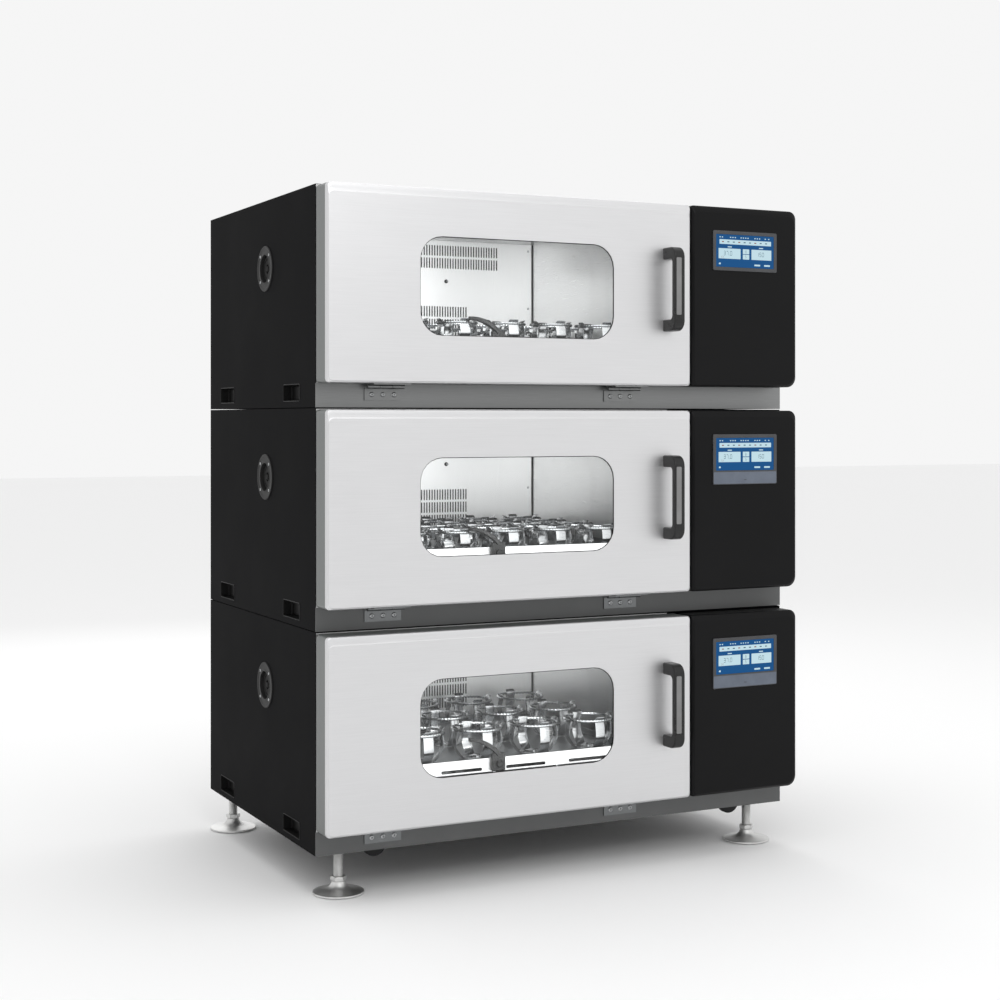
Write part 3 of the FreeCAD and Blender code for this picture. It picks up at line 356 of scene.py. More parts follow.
class PieceBuilder:
    # Collects shapes in millimetres from one origin and makes one object of them
    def __init__(self, origin):
        self.origin = Vector(origin)
        self.points = []
        self.faces = []
        self.finishes = []

    def loft(self, rings, finish=0, loop=False, capFirst=False, capLast=False):
        start = len(self.points)
        count = len(rings[0])
        for ring in rings:
            self.points.extend(Vector(point) for point in ring)
        for span in range(len(rings) if loop else len(rings) - 1):
            a = start + span * count
            b = start + (span + 1) % len(rings) * count
            for step in range(count):
                after = (step + 1) % count
                self.addFace((a + step, a + after, b + after, b + step), finish)
        if capFirst:
            self.addFace(tuple(range(start, start + count)), finish)
        if capLast:
            last = start + (len(rings) - 1) * count
            self.addFace(tuple(range(last, last + count)), finish)

    def addFace(self, corners, finish):
        self.faces.append(corners)
        self.finishes.append(finish)

    def frontPlate(self, x0, x1, z0, z1, y0, y1, radius=0.5, edge=0.4, finish=0, steps=4):
        # Upright plate with its front at y0; its front edges are rounded
        rings = [frontRing(x0, x1, z0, z1, radius, y1, steps)]
        for inset, depth in ((0, edge), (edge * 0.3, edge * 0.3), (edge, 0)):
            corner = max(radius - inset, 0.02)
            rings.append(frontRing(x0 + inset, x1 - inset, z0 + inset, z1 - inset, corner, y0 + depth, steps))
        self.loft(rings, finish, capFirst=True, capLast=True)

    def bar(self, x0, x1, y0, y1, z0, z1, edge=0.5, finish=0):
        # Block with all its edges eased
        rings = []
        for inset, z in ((edge, z0), (0, z0 + edge), (0, z1 - edge), (edge, z1)):
            corner = max(edge - inset, 0.05)
            flat = outline(x0 + inset, x1 - inset, y0 + inset, y1 - inset, corner, 2)
            rings.append([(x, y, z) for x, y in flat])
        self.loft(rings, finish, capFirst=True, capLast=True)

    def turned(self, profile, centre, axis, steps=32, finish=0):
        # Solid turned about an axis. The profile is reach and height, and a reach may be a rule for an angle
        axis = Vector(axis)
        first = axis.orthogonal().normalized()
        second = axis.cross(first)
        rings = []
        for reach, height in profile:
            ring = []
            for step in range(steps):
                angle = 2 * math.pi * step / steps
                far = reach(angle) if callable(reach) else reach
                ring.append(Vector(centre) + axis * height
                            + (first * math.cos(angle) + second * math.sin(angle)) * far)
            rings.append(ring)
        self.loft(rings, finish, capFirst=True, capLast=True)

    def hexagon(self, across, height0, height1, centre, axis, chamfer=1.0, finish=0):
        # Nut or bolt head: across flats, chamfered at both ends
        eased = hexReach(across / 2, across / 2 * fastener["hexEase"])
        full = hexReach(across / 2, across)
        profile = [(eased, height0), (full, height0 + chamfer), (full, height1 - chamfer), (eased, height1)]
        self.turned(profile, centre, axis, fastener["steps"], finish)

    def socketScrew(self, centre, axis, radius, height, finish=0):
        # Domed head with a hexagon socket
        socket = hexReach(radius * fastener["socket"], radius)
        profile = [(radius * reach, height * rise) for reach, rise in fastener["dome"]]
        profile += [(socket, height), (socket, height * fastener["socketFloor"])]
        self.turned(profile, centre, axis, fastener["steps"], finish)

    def make(self, name, body, finishes, replaced=(), angle=32, weighted=True):
        mesh = bpy.data.meshes.new(name)
        mesh.from_pydata([self.origin + point / 1000 for point in self.points], [], self.faces)
        mesh.polygons.foreach_set("material_index", self.finishes)
        for finish in finishes:
            mesh.materials.append(finish)
        work = bmesh.new()
        work.from_mesh(mesh)
        bmesh.ops.recalc_face_normals(work, faces=work.faces)
        work.to_mesh(mesh)
        work.free()
        mesh.shade_smooth()
        mesh.set_sharp_from_angle(angle=math.radians(angle))
        piece = bpy.data.objects.new(name, mesh)
        bpy.context.scene.collection.objects.link(piece)
        if weighted:
            normals = piece.modifiers.new("evenNormals", "WEIGHTED_NORMAL")
            normals.keep_sharp = True
        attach(piece, body)
        if replaced:
            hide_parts(*replaced)
        return piece


def keepNode(node, finishes, easedEdge=0.0, choose=None):
    # A frame node whose own shape is right: it gets its finish and softened edges
    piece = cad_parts[node]
    piece.data.materials.clear()
    for finish in finishes:
        piece.data.materials.append(finish)
    if choose:
        for polygon in piece.data.polygons:
            polygon.material_index = choose(polygon)
    if easedEdge:
        bevel = piece.modifiers.new("easedEdges", "BEVEL")
        bevel.width = easedEdge / 1000
        bevel.segments = 2
        bevel.limit_method = "ANGLE"
        bevel.angle_limit = math.radians(50)
        bevel.harden_normals = True
    return piece


# Its fold is shares of the side fold, of the top fold and of their depth, from the side wall to the face
doorPanel = {"corner": 10, "faceCorner": 12, "sideFold": 5, "topFold": 22, "foldDepth": 5, "skinDepth": 12,
             "sheet": 1.5, "rolledEdge": 1.1, "rollSteps": 4,
             "fold": ((0, 0, 1.25), (0.02, 0.005, 1.08), (0.08, 0.02, 0.95), (0.35, 0.07, 0.6),
                      (0.6, 0.12, 0.36), (0.8, 0.5, 0.3), (0.86, 0.84, 0.24), (0.94, 0.94, 0.1), (1, 1, 0))}
# The window's opening in the skin; the inner pane reaches further out than it by paneGrow
doorWindow = {"corner": 58, "paneGrow": 43.5, "overlap": 12}


def windowSpan(deck, grow=0.0):
    x0, x1, _, _, z0, z1 = spanOf(f"{deck}_window_panes", deckOrigins[deck])
    inset = doorWindow["paneGrow"] - grow
    return x0 + inset, x1 - inset, z0 + inset, z1 - inset, doorWindow["corner"] + grow


def makeDoorPanel(deck):
    x0, x1, y0, _, z0, z1 = spanOf(f"{deck}_door_skin", deckOrigins[deck])
    side, top, depth = doorPanel["sideFold"], doorPanel["topFold"], doorPanel["foldDepth"]
    sheet, back = doorPanel["sheet"], y0 + doorPanel["skinDepth"]
    build = PieceBuilder(deckOrigins[deck])
    rings = [frontRing(x0, x1, z0, z1, doorPanel["corner"], back)]
    for across, fall, down in doorPanel["fold"]:
        corner = doorPanel["corner"] + (doorPanel["faceCorner"] - doorPanel["corner"]) * across
        rings.append(frontRing(x0 + side * across, x1 - side * across, z0 + side * across,
                               z1 - top * fall, corner, y0 + depth * down))
    roll = doorPanel["rolledEdge"]
    for turn in range(doorPanel["rollSteps"] + 1):
        angle = math.radians(90 * turn / doorPanel["rollSteps"])
        rings.append(frontRing(*windowSpan(deck, roll * (1 - math.sin(angle))),
                               y0 + roll * (1 - math.cos(angle))))
    rings.append(frontRing(*windowSpan(deck), y0 + sheet))
    # Back of the folded sheet
    corner = doorPanel["corner"] - sheet
    rings.append(frontRing(x0 + side, x1 - side, z0 + side, z1 - top, corner, y0 + sheet))
    rings.append(frontRing(x0 + sheet, x1 - sheet, z0 + sheet, z1 - sheet, corner, y0 + depth + sheet))
    rings.append(frontRing(x0 + sheet, x1 - sheet, z0 + sheet, z1 - sheet, corner, back))
    build.loft(rings, loop=True)
    build.make(f"{deck}DoorPanel", f"{deck}_door", [doorSteel], [f"{deck}_door_skin"],
               angle=50)


# The screws stand at shares of the inset from the liner's bottom and top
doorLiner = {"easedEdge": 0.8, "faceSlack": 0.4, "screwInset": 26, "screwRadius": 5, "screwHeight": 2.2,
             "screwPitch": 230, "lowShare": 0.6, "highShare": 0.45}


def makeDoorLiner(deck):
    x0, x1, _, y1, z0, z1 = spanOf(f"{deck}_door_liner", deckOrigins[deck])
    innerFace = deckOrigins[deck].y + (y1 - doorLiner["faceSlack"]) / 1000

    def innerOrEdge(polygon):
        return 1 if polygon.center.y > innerFace else 0

    keepNode(f"{deck}_door_liner", [doorEdgeCoat, doorInnerSteel], doorLiner["easedEdge"], innerOrEdge)
    build = PieceBuilder(deckOrigins[deck])
    inset = doorLiner["screwInset"]
    count = int((x1 - x0 - 2 * inset) // doorLiner["screwPitch"]) + 1
    for step in range(count):
        x = x0 + inset + (x1 - x0 - 2 * inset) * step / (count - 1)
        for z in (z0 + inset * doorLiner["lowShare"], z1 - inset * doorLiner["highShare"]):
            build.socketScrew((x, y1, z), (0, 1, 0), doorLiner["screwRadius"], doorLiner["screwHeight"])
    build.make(f"{deck}DoorLinerScrews", f"{deck}_door", [screwSteel])


# Sections of the seals: the lip is growth past the window and depth, and the bead and the gasket are
# inset and depth from the case's front. The bead's ends meet the inner pane.
doorSeals = {"lip": ((0.2, 0), (-0.8, 0.3), (-1.5, 1.1), (-1.5, 2.2), (-0.8, 3.0)), "beadGrow": 44,
             "bead": ((0, -6.0), (1.5, -5.4), (3.2, -5.6), (4.6, -7), (5, -9)), "gasketCorner": 10,
             "gasket": ((0, -6), (0, -2.2), (1.5, -0.6), (5.2, -0.4), (6.2, -1.8), (7.8, -1.8), (8.8, -0.4),
                        (12.5, -0.6), (14, -2.2), (14, -6))}


def makeDoorSeals(deck):
    # Soft ring behind the skin, bead that holds the inner pane, and the gasket round the door's back
    build = PieceBuilder(deckOrigins[deck])
    sx0, sx1, sy0, _, sz0, sz1 = spanOf(f"{deck}_door_seals", deckOrigins[deck])
    _, _, _, py1, _, _ = spanOf(f"{deck}_window_panes", deckOrigins[deck])
    lip, bead = doorSeals["lip"], doorSeals["bead"]
    overlap = doorWindow["overlap"]
    rings = [frontRing(*windowSpan(deck, grow), sy0 + depth)
             for grow, depth in ((overlap, lip[0][1]), *lip, (overlap, lip[-1][1]))]
    build.loft(rings, loop=True)
    rings = [frontRing(*windowSpan(deck, doorSeals["beadGrow"] - inset), y)
             for inset, y in ((bead[0][0], py1), *bead, (bead[-1][0], py1))]
    build.loft(rings, loop=True)
    rings = []
    for inset, y in doorSeals["gasket"]:
        corner = max(doorSeals["gasketCorner"] - inset, 1.0)
        rings.append(frontRing(sx0 + inset, sx1 - inset, sz0 + inset, sz1 - inset, corner, y))
    build.loft(rings, loop=True)
    build.make(f"{deck}DoorSeals", f"{deck}_door", [sealRubber], [f"{deck}_door_seals"],
               angle=40)


doorHandle = {"width": 30, "arm": 30, "bar": 16, "outerBend": 26, "innerBend": 12, "bendSteps": 8,
              "edge": 4.2, "edgeSteps": 5, "foot": 1.2, "inlayWidth": 15, "inlayShare": 0.68,
              "inlayShift": -3.2, "inlayRise": 6, "inlayProud": 0.7, "inlayDeep": 3, "inlayCorner": 3,
              "inlayEdge": 0.6}


def handleSection(outer, inner, width, edge, centre, front):
    # Rounded section between an outer and an inner point, each given as reach and height
    reach, rise = inner[0] - outer[0], inner[1] - outer[1]
    thick = math.hypot(reach, rise)
    ring = []
    for across, through in outline(-width / 2, width / 2, 0, thick, edge, doorHandle["edgeSteps"]):
        share = through / thick
        ring.append((centre + across, front - (outer[0] + reach * share), outer[1] + rise * share))
    return ring


def makeDoorHandle(deck):
    x0, x1, y0, y1, z0, z1 = spanOf(f"{deck}_door_handle", deckOrigins[deck])
    centre, front = (x0 + x1) / 2, y1
    reach = y1 - y0 - doorHandle["inlayProud"]
    arm, bar = doorHandle["arm"], doorHandle["bar"]
    outerBend, innerBend = doorHandle["outerBend"], doorHandle["innerBend"]
    stations = []
    for end, sign in ((z0, 1), (z1, -1)):
        half = [((0, end), (0, end + sign * arm)),
                ((doorHandle["foot"], end), (doorHandle["foot"], end + sign * arm)),
                ((reach - outerBend, end), (reach - bar - innerBend, end + sign * arm))]
        for turn in range(1, doorHandle["bendSteps"] + 1):
            angle = math.radians(90 * turn / doorHandle["bendSteps"])
            outer = (reach - outerBend + outerBend * math.sin(angle),
                     end + sign * (outerBend - outerBend * math.cos(angle)))
            inner = (reach - bar - innerBend + innerBend * math.sin(angle),
                     end + sign * (arm + innerBend - innerBend * math.cos(angle)))
            half.append((outer, inner))
        stations += half if sign > 0 else half[::-1]
    build = PieceBuilder(deckOrigins[deck])
    rings = [handleSection(outer, inner, doorHandle["width"], doorHandle["edge"], centre, front)
             for outer, inner in stations]
    build.loft(rings, capFirst=True, capLast=True)
    # Grey insert along the front of the bar
    middle = (z0 + z1) / 2 + doorHandle["inlayRise"]
    half = (z1 - z0) / 2 * doorHandle["inlayShare"]
    x = centre + doorHandle["inlayShift"]
    build.frontPlate(x - doorHandle["inlayWidth"] / 2, x + doorHandle["inlayWidth"] / 2, middle - half,
                     middle + half, y0, y0 + doorHandle["inlayDeep"], doorHandle["inlayCorner"],
                     doorHandle["inlayEdge"], finish=1)
    build.make(f"{deck}DoorHandle", f"{deck}_door", [handleNylon, gripInsert],
               [f"{deck}_door_handle"], angle=60)


def makeDoors():
    for deck in deckNames:
        makeDoorPanel(deck)
        makeDoorLiner(deck)
        makeDoorSeals(deck)
        makeDoorHandle(deck)
        keepNode(f"{deck}_window_panes", [windowGlass])
        # The top deck's leaves take the lighter copy of the sill steel, which is painted light
        leafOrLitTopSteel = litTopSillSteel if deck == "top" else hingeSteel
        keepNode(f"{deck}_door_hinge_leaves", [leafOrLitTopSteel], 0.4)
    print("doors made")


# Its fold is shares of the folds' width and of their depth, from the side wall to the face
controlCover = {"corners": (26, 20, 7, 7), "cornerSteps": 8, "sideFold": 8, "topFold": 18, "foldDepth": 7,
                "wall": 2,
                "fold": ((0, 1.3), (0.03, 1.08), (0.1, 0.92), (0.3, 0.64), (0.6, 0.32), (0.85, 0.1), (1, 0))}


def coverRing(span, side, top, y, grow=0):
    x0, x1, z0, z1 = span
    corners = tuple(max(c - grow, 1) for c in controlCover["corners"])
    return frontRing(x0 + side, x1 - side, z0 + side, z1 - top, corners, y, controlCover["cornerSteps"])


def makeControlCover(deck):
    origin = deckOrigins[deck]
    x0, x1, y0, y1, _, _ = spanOf("control_covers", origin)
    _, _, _, _, z0, z1 = spanOf(f"{deck}_door_skin", origin)
    span = (x0, x1, z0, z1)
    side, top, depth = controlCover["sideFold"], controlCover["topFold"], controlCover["foldDepth"]
    wall = controlCover["wall"]
    build = PieceBuilder(origin)
    rings = [coverRing(span, side, top, y0 + depth + wall, wall), coverRing(span, wall, wall, y1, wall),
             coverRing(span, 0, 0, y1)]
    for across, back in controlCover["fold"]:
        rings.append(coverRing(span, side * across, top * across, y0 + depth * back))
    build.loft(rings, capFirst=True, capLast=True)
    build.make(f"{deck}ControlCover", "cabinet", [coverCoat], ["control_covers"], angle=45)


# Seven segments of a figure as x, z, width, height shares of its cell
segmentShapes = {"a": (0.1, 0.9, 0.8, 0.1), "b": (0.88, 0.5, 0.12, 0.42), "c": (0.88, 0.08, 0.12, 0.42),
                 "d": (0.1, 0.0, 0.8, 0.1), "e": (0.0, 0.08, 0.12, 0.42), "f": (0.0, 0.5, 0.12, 0.42),
                 "g": (0.1, 0.45, 0.8, 0.1)}
figureSegments = {"0": "abcdef", "1": "bc", "2": "abged", "3": "abgcd", "5": "afgcd", "7": "abc",
                  "8": "abcdefg"}


# Shares of a figure's height
figureForm = {"width": 0.55, "pitch": 1.35, "point": 0.12, "pointPitch": 0.3, "deep": 0.3, "edge": 0.05}


def addFigures(build, text, x, z, height, y, finish):
    # Row of plain figures, with a point drawn low and narrow
    wide = height * figureForm["width"]
    deep, edge = figureForm["deep"], figureForm["edge"]
    for letter in text:
        if letter == ".":
            point = height * figureForm["point"]
            build.frontPlate(x, x + point, z, z + point, y, y + deep, edge, edge, finish, 1)
            x += height * figureForm["pointPitch"]
            continue
        for key in figureSegments[letter]:
            sx, sz, sw, sh = segmentShapes[key]
            build.frontPlate(x + sx * wide, x + (sx + sw) * wide, z + sz * height, z + (sz + sh) * height,
                             y, y + deep, edge, edge, finish, 1)
        x += wide * figureForm["pitch"]


# Depths are counted from the bezel's front
screenFace = {"panelHigh": 104, "border": 9, "bezelCorner": 4, "bezelEdge": 0.9, "bezelBack": 3.2,
              "lipInset": 0.7, "lipCorner": 1.5, "recess": 0.9, "glassInset": 0.6, "glassBack": 2.5,
              "fieldFront": 0.55, "fieldDeep": 0.4, "figureLift": 0.05}
lowerBar = {"inset": 1.5, "gap": 3, "proud": 0.1, "back": 1, "corner": 2.5, "edge": 0.5, "markHalf": 4,
            "markLow": 11, "markHigh": 13, "markProud": 0.2, "markCorner": 0.9, "markEdge": 0.2}


def makeTouchPanel(deck, nodeSpan):
    # Bezel, glass and the fields of the screen; the lower decks have a plain bar under the glass
    x0, x1, z0, z1, front = nodeSpan
    border, recess = screenFace["border"], front + screenFace["recess"]
    glassTop = z1 - border
    glassBottom = glassTop - (screenFace["panelHigh"] - 2 * border)
    gx0, gx1 = x0 + border, x1 - border
    build = PieceBuilder(deckOrigins[deck])
    corner, edge = screenFace["bezelCorner"], screenFace["bezelEdge"]
    back, lip = front + screenFace["bezelBack"], screenFace["lipInset"]
    rings = []
    for inset, y in ((0, back), (0, front + edge), (edge * 0.3, front + edge * 0.3), (edge, front)):
        rings.append(frontRing(x0 + inset, x1 - inset, z0 + inset, z1 - inset, corner, y))
    for inset, y in ((0, front), (lip, recess), (lip, back)):
        rings.append(frontRing(gx0 + inset, gx1 - inset, glassBottom + inset, glassTop - inset,
                               screenFace["lipCorner"], y))
    build.loft(rings, loop=True)
    inset = screenFace["glassInset"]
    build.frontPlate(gx0 + inset, gx1 - inset, glassBottom + inset, glassTop - inset, recess,
                     front + screenFace["glassBack"], 1.0, 0.1, 2)
    if glassBottom - z0 > 2 * border:
        bar, middle = lowerBar, (x0 + x1) / 2
        build.frontPlate(x0 + bar["inset"], x1 - bar["inset"], z0 + bar["inset"], glassBottom - bar["gap"],
                         front - bar["proud"], front + bar["back"], bar["corner"], bar["edge"], 1)
        build.frontPlate(middle - bar["markHalf"], middle + bar["markHalf"], z0 + bar["markLow"],
                         z0 + bar["markHigh"], front - bar["markProud"], front + bar["back"],
                         bar["markCorner"], bar["markEdge"], 0)
    addScreenFields(build, gx0, gx1, glassBottom, glassTop, front + screenFace["fieldFront"])
    build.make(f"{deck}TouchPanel", "cabinet",
               [bezelPlastic, barPlastic, screenBlue, screenWhite, screenInk, screenRed], ["touch_panels"],
               angle=40)


# Left, right, bottom and top as shares of the glass, then the finish, the corner and the lift in millimetres
screenFields = [(left, left + 0.02, 0.895, 0.925, 3, 0.4, 0) for left in
                (0.06, 0.10, 0.24, 0.28, 0.32, 0.42, 0.46, 0.50, 0.54, 0.66, 0.70, 0.74, 0.84, 0.90)]
screenFields += [(0.06, 0.95, 0.70, 0.84, 3, 0.8, 0), (0.045, 0.42, 0.26, 0.57, 3, 0.8, 0),
                 (0.46, 0.57, 0.26, 0.57, 3, 0.8, 0), (0.61, 0.955, 0.26, 0.57, 3, 0.8, 0),
                 (0.46, 0.57, 0.405, 0.425, 2, 0.2, 0.05)]
screenFields += [(left, left + 0.07, 0.605, 0.635, 3, 0.4, 0) for left in (0.20, 0.74)]
screenFields += [(0.05, 0.08, 0.08, 0.13, 3, 0.8, 0)]
screenFields += [(left, left + 0.10, 0.07, 0.12, 3, 0.6, 0) for left in (0.66, 0.83)]
markRow = {"count": 9, "left": 0.10, "pitch": 0.093, "width": 0.035, "bottom": 0.755, "top": 0.785}
# Text, left, bottom and height as shares of the glass, finish
screenFigures = (("37.0", 0.13, 0.36, 0.13, 4), ("150", 0.70, 0.36, 0.13, 4), ("0.0", 0.09, 0.285, 0.05, 5),
                 ("8", 0.50, 0.45, 0.08, 4), ("5", 0.50, 0.30, 0.08, 4))


def addScreenFields(build, gx0, gx1, gz0, gz1, y):
    wide, high = gx1 - gx0, gz1 - gz0
    marks = []
    for step in range(markRow["count"]):
        left = markRow["left"] + markRow["pitch"] * step
        marks.append((left, left + markRow["width"], markRow["bottom"], markRow["top"], 4 if step % 3 else 5,
                      0.3, 0.05))
    for left, right, bottom, top, finish, radius, lift in screenFields + marks:
        build.frontPlate(gx0 + left * wide, gx0 + right * wide, gz0 + bottom * high, gz0 + top * high,
                         y - lift, y + screenFace["fieldDeep"], radius, 0.1, finish, 2)
    for text, left, bottom, tall, finish in screenFigures:
        addFigures(build, text, gx0 + left * wide, gz0 + bottom * high, tall * high,
                   y - screenFace["figureLift"], finish)


def makeControlBoxes():
    x0, x1, y0, _, z0, _ = spanOf("touch_panels", deckOrigins["bottom"])
    _, _, _, _, _, topZ = spanOf("touch_panels", deckOrigins["top"])
    for deck in deckNames:
        makeControlCover(deck)
        bottom = topZ - screenFace["panelHigh"] if deck == "top" else z0
        makeTouchPanel(deck, (x0, x1, bottom, topZ, y0))
    print("control boxes made")


hingeScrews = {"pitch": 29, "height": 31, "radius": 6, "head": 2.4, "leafFace": -4.5, "leafLength": 95,
               "leafProud": 2.2}
rearScrews = {"inset": 14, "gaps": 8, "radius": 5.2, "head": 2.2}
stackPlug = {"inset": 42, "profile": ((15, -1), (15, 0.8), (13.6, 1.7), (6, 2.2), (5, 1.4))}
# The ends are distance from a hood's end and share of how far it stands out; the hood is shares of that
# and of its height
louvre = {"rows": 9, "pitch": 13, "length": 120, "high": 5, "proud": 2.6, "bottom": 300, "left": 1075,
          "columns": 2, "columnPitch": 140, "ends": ((0, 0.02), (2, 0.55), (5, 1)),
          "hood": ((0, 0), (1, 0.15), (0.92, 0.45), (0.4, 0.85), (0, 1)), "slotShadeInset": 3, "slotShadeHigh": 2.2,
          "slotShadeProud": 0.25, "slotShadeDeep": 0.5}


def makeCases():
    keepNode("cases", [caseCoat], 0.7)
    build = PieceBuilder(caseLow)
    # Cover screws on the back of every deck, and plugs in the stacking holes on the top
    inset, gaps = rearScrews["inset"], rearScrews["gaps"]
    for number in range(len(deckNames)):
        z0 = number * deckRise * 1000
        for step in range(gaps + 1):
            x = inset + step * (caseWidth - 2 * inset) / gaps
            for z in (z0 + inset, z0 + caseTop - inset):
                build.socketScrew((x, caseDepth, z), (0, 1, 0), rearScrews["radius"], rearScrews["head"])
    top = 2 * deckRise * 1000 + caseTop
    for x in (stackPlug["inset"], caseWidth - stackPlug["inset"]):
        for y in (stackPlug["inset"], caseDepth - stackPlug["inset"]):
            build.turned(stackPlug["profile"], (x, y, top), (0, 0, 1), finish=1)
    build.make("caseScrewsAndPlugs", "cabinet", [screwSteel, fittingPlastic])
    vents = PieceBuilder(caseLow)
    for number in range(len(deckNames)):
        z0 = number * deckRise * 1000 + louvre["bottom"]
        for row in range(louvre["rows"]):
            for column in range(louvre["columns"]):
                addLouvre(vents, louvre["left"] + column * louvre["columnPitch"], caseDepth,
                          z0 + row * louvre["pitch"])
    vents.make("rearLouvres", "cabinet", [caseCoat, gripPlastic], angle=40)


def addLouvre(build, x, y, z):
    # Pressed hood over a slot, open underneath. The slot under the hood is a black bar, painted shade for the
    # dark opening
    half, high, proud = louvre["length"] / 2, louvre["high"], louvre["proud"]
    ends = louvre["ends"]
    stations = [(along - half, share) for along, share in ends]
    stations += [(half - along, share) for along, share in reversed(ends)]
    rings = []
    for along, share in stations:
        rings.append([(x + along, y + proud * share * out, z + high * up) for out, up in louvre["hood"]])
    build.loft(rings, capFirst=True, capLast=True)
    # Black bar in the slot: painted shade
    inset = louvre["slotShadeInset"]
    build.bar(x - half + inset, x + half - inset, y - louvre["slotShadeDeep"], y + louvre["slotShadeProud"],
              z - louvre["slotShadeHigh"], z, 0.1, 1)


def makeSills():
    faceY = caseLow.y - hingeScrews["leafProud"] / 1000

    def leafSillOrLitTopSill(polygon):
        # The top deck's sill and leaves take the lighter copy: painted light
        if polygon.center.z > deckOrigins["top"].z:
            return 2
        return 1 if polygon.center.y < faceY else 0

    keepNode("front_sills", [sillCoat, hingeSteel, litTopSillSteel], 0.5, leafSillOrLitTopSill)
    for deck in deckNames:
        x0, x1, _, _, _, _ = spanOf(f"{deck}_door_hinge_leaves", deckOrigins[deck])
        build = PieceBuilder(deckOrigins[deck])
        for middle in (x0 + hingeScrews["leafLength"] / 2, x1 - hingeScrews["leafLength"] / 2):
            for step in (-1, 0, 1):
                place = (middle + step * hingeScrews["pitch"], hingeScrews["leafFace"], hingeScrews["height"])
                build.socketScrew(place, (0, -1, 0), hingeScrews["radius"], hingeScrews["head"])
        build.make(f"{deck}HingeScrews", "cabinet", [screwSteel])


# The plug's profile is how far inside the bore and how high, but from the finger ring inwards a radius
accessPort = {"y": 365, "z": 355, "outer": 58, "bore": 35, "proud": 3, "sleeve": 46, "wall": 2.5, "steps": 64,
              "screwRadius": 3.6, "screwHead": 2, "screwFloor": 0.7, "plugPlay": 0.4,
              "plug": ((0.4, -7), (2.5, -5.5), (9, -5.5), (10, -7), (12, -7), (13, -5.5)),
              "fingerRing": ((12, -5.5), (11, -9), (8, -10), (7, -4), (3, -3))}
liftGrip = {"length": 117, "height": 39, "depth": 22, "lip": 2.0, "proud": 0.8, "yFront": 168, "yRear": 683,
            "z": 36.5, "corner": 3, "cornerSteps": 3, "wall": 1.9}


def makeAccessPorts():
    for deck in deckNames:
        build = PieceBuilder(deckOrigins[deck])
        centre = (0, accessPort["y"], accessPort["z"])
        outer, bore, proud = accessPort["outer"], accessPort["bore"], accessPort["proud"]
        sleeve, steps = accessPort["sleeve"], accessPort["steps"]
        sleeveOutside = bore + accessPort["wall"]
        # Sleeve, flange with a recessed track for the screws, and bore: radius and height
        profile = [(sleeveOutside, -sleeve), (sleeveOutside, 0), (outer, 0), (outer, proud * 0.6),
                   (outer - 1.2, proud), (outer - 6, proud), (outer - 7, proud * 0.75),
                   (bore + 5, proud * 0.75), (bore + 4, proud), (bore + 1, proud), (bore, proud * 0.5),
                   (bore, -sleeve)]
        rings = []
        for radius, height in profile:
            rings.append([(centre[0] - height, centre[1] + radius * math.cos(2 * math.pi * step / steps),
                           centre[2] + radius * math.sin(2 * math.pi * step / steps))
                          for step in range(steps)])
        build.loft(rings, loop=True)
        for quarter in range(4):
            angle = math.radians(45 + 90 * quarter)
            reach = (outer + bore) / 2
            build.socketScrew((-proud * accessPort["screwFloor"], centre[1] + reach * math.cos(angle),
                               centre[2] + reach * math.sin(angle)), (-1, 0, 0), accessPort["screwRadius"],
                              accessPort["screwHead"], 2)
        # Plug with a finger ring and two grooves
        plug = [(bore - accessPort["plugPlay"], -sleeve)]
        plug += [(bore - inset, height) for inset, height in accessPort["plug"]]
        plug += accessPort["fingerRing"]
        build.turned(plug, centre, (-1, 0, 0), steps=48, finish=1)
        build.make(f"{deck}AccessPort", "cabinet",
                   [fittingPlastic, plugSilicone, screwSteel], ["access_ports"], angle=40)


def makeLiftGrips():
    half, high = liftGrip["length"] / 2, liftGrip["height"] / 2
    lip, depth, proud = liftGrip["lip"], liftGrip["depth"], liftGrip["proud"]
    wall, z = liftGrip["wall"], liftGrip["z"]
    # Growth outwards from the pocket's mouth, and distance into the case
    section = ((wall, depth + wall), (wall, depth), (lip, 1.6), (lip, 0), (lip, -proud * 0.5),
               (lip * 0.8, -proud), (lip * 0.3, -proud), (0, -proud * 0.4), (0, 1), (-1.0, depth - 3),
               (-3.5, depth))
    for deck in deckNames:
        build = PieceBuilder(deckOrigins[deck])
        for face, inward in ((0, 1), (caseWidth, -1)):
            for y in (liftGrip["yFront"], liftGrip["yRear"]):
                rings = []
                for grow, into in section:
                    rings.append(sideRing(y - half - grow, y + half + grow, z - high - grow, z + high + grow,
                                          liftGrip["corner"] + max(grow, -1), face + inward * into,
                                          liftGrip["cornerSteps"]))
                build.loft(rings, capFirst=True, capLast=True)
        build.make(f"{deck}LiftGrips", "cabinet", [gripPlastic], ["lift_grips"], angle=40)


inletPlate = {"z": 90, "high": 28, "wide": 48, "proud": 3, "deep": 30, "edge": 0.8, "rim": 7.5, "shroud": 8,
              "shroudShare": 0.7, "socketDeep": 17, "pins": ((-7, -2), (0, 2.5), (7, -2)), "pinHalfWide": 1,
              "pinHalfHigh": 2.2, "pinShort": 2, "cornerSteps": 3}
rockerSwitch = {"gap": 28, "wide": 28, "high": 22, "edge": 0.6, "rim": 2.6, "well": 3, "wellDeep": 2,
                "inset": 3.4, "topInset": 3.8, "foot": 2.2, "dip": 1.6, "rise": 2.2, "steps": 6}
powerHousing = {"deep": 320, "bottom": 120, "top": 380, "edge": 1.5, "sheet": 1.5, "legTop": 119.8,
                "slots": 10, "slotBottom": 160, "slotPitch": 18, "slotShadeInset": 30, "slotShadeHigh": 6,
                "slotShadeProud": 0.8, "slotShadeDeep": 0.4, "fineEdge": 0.3}


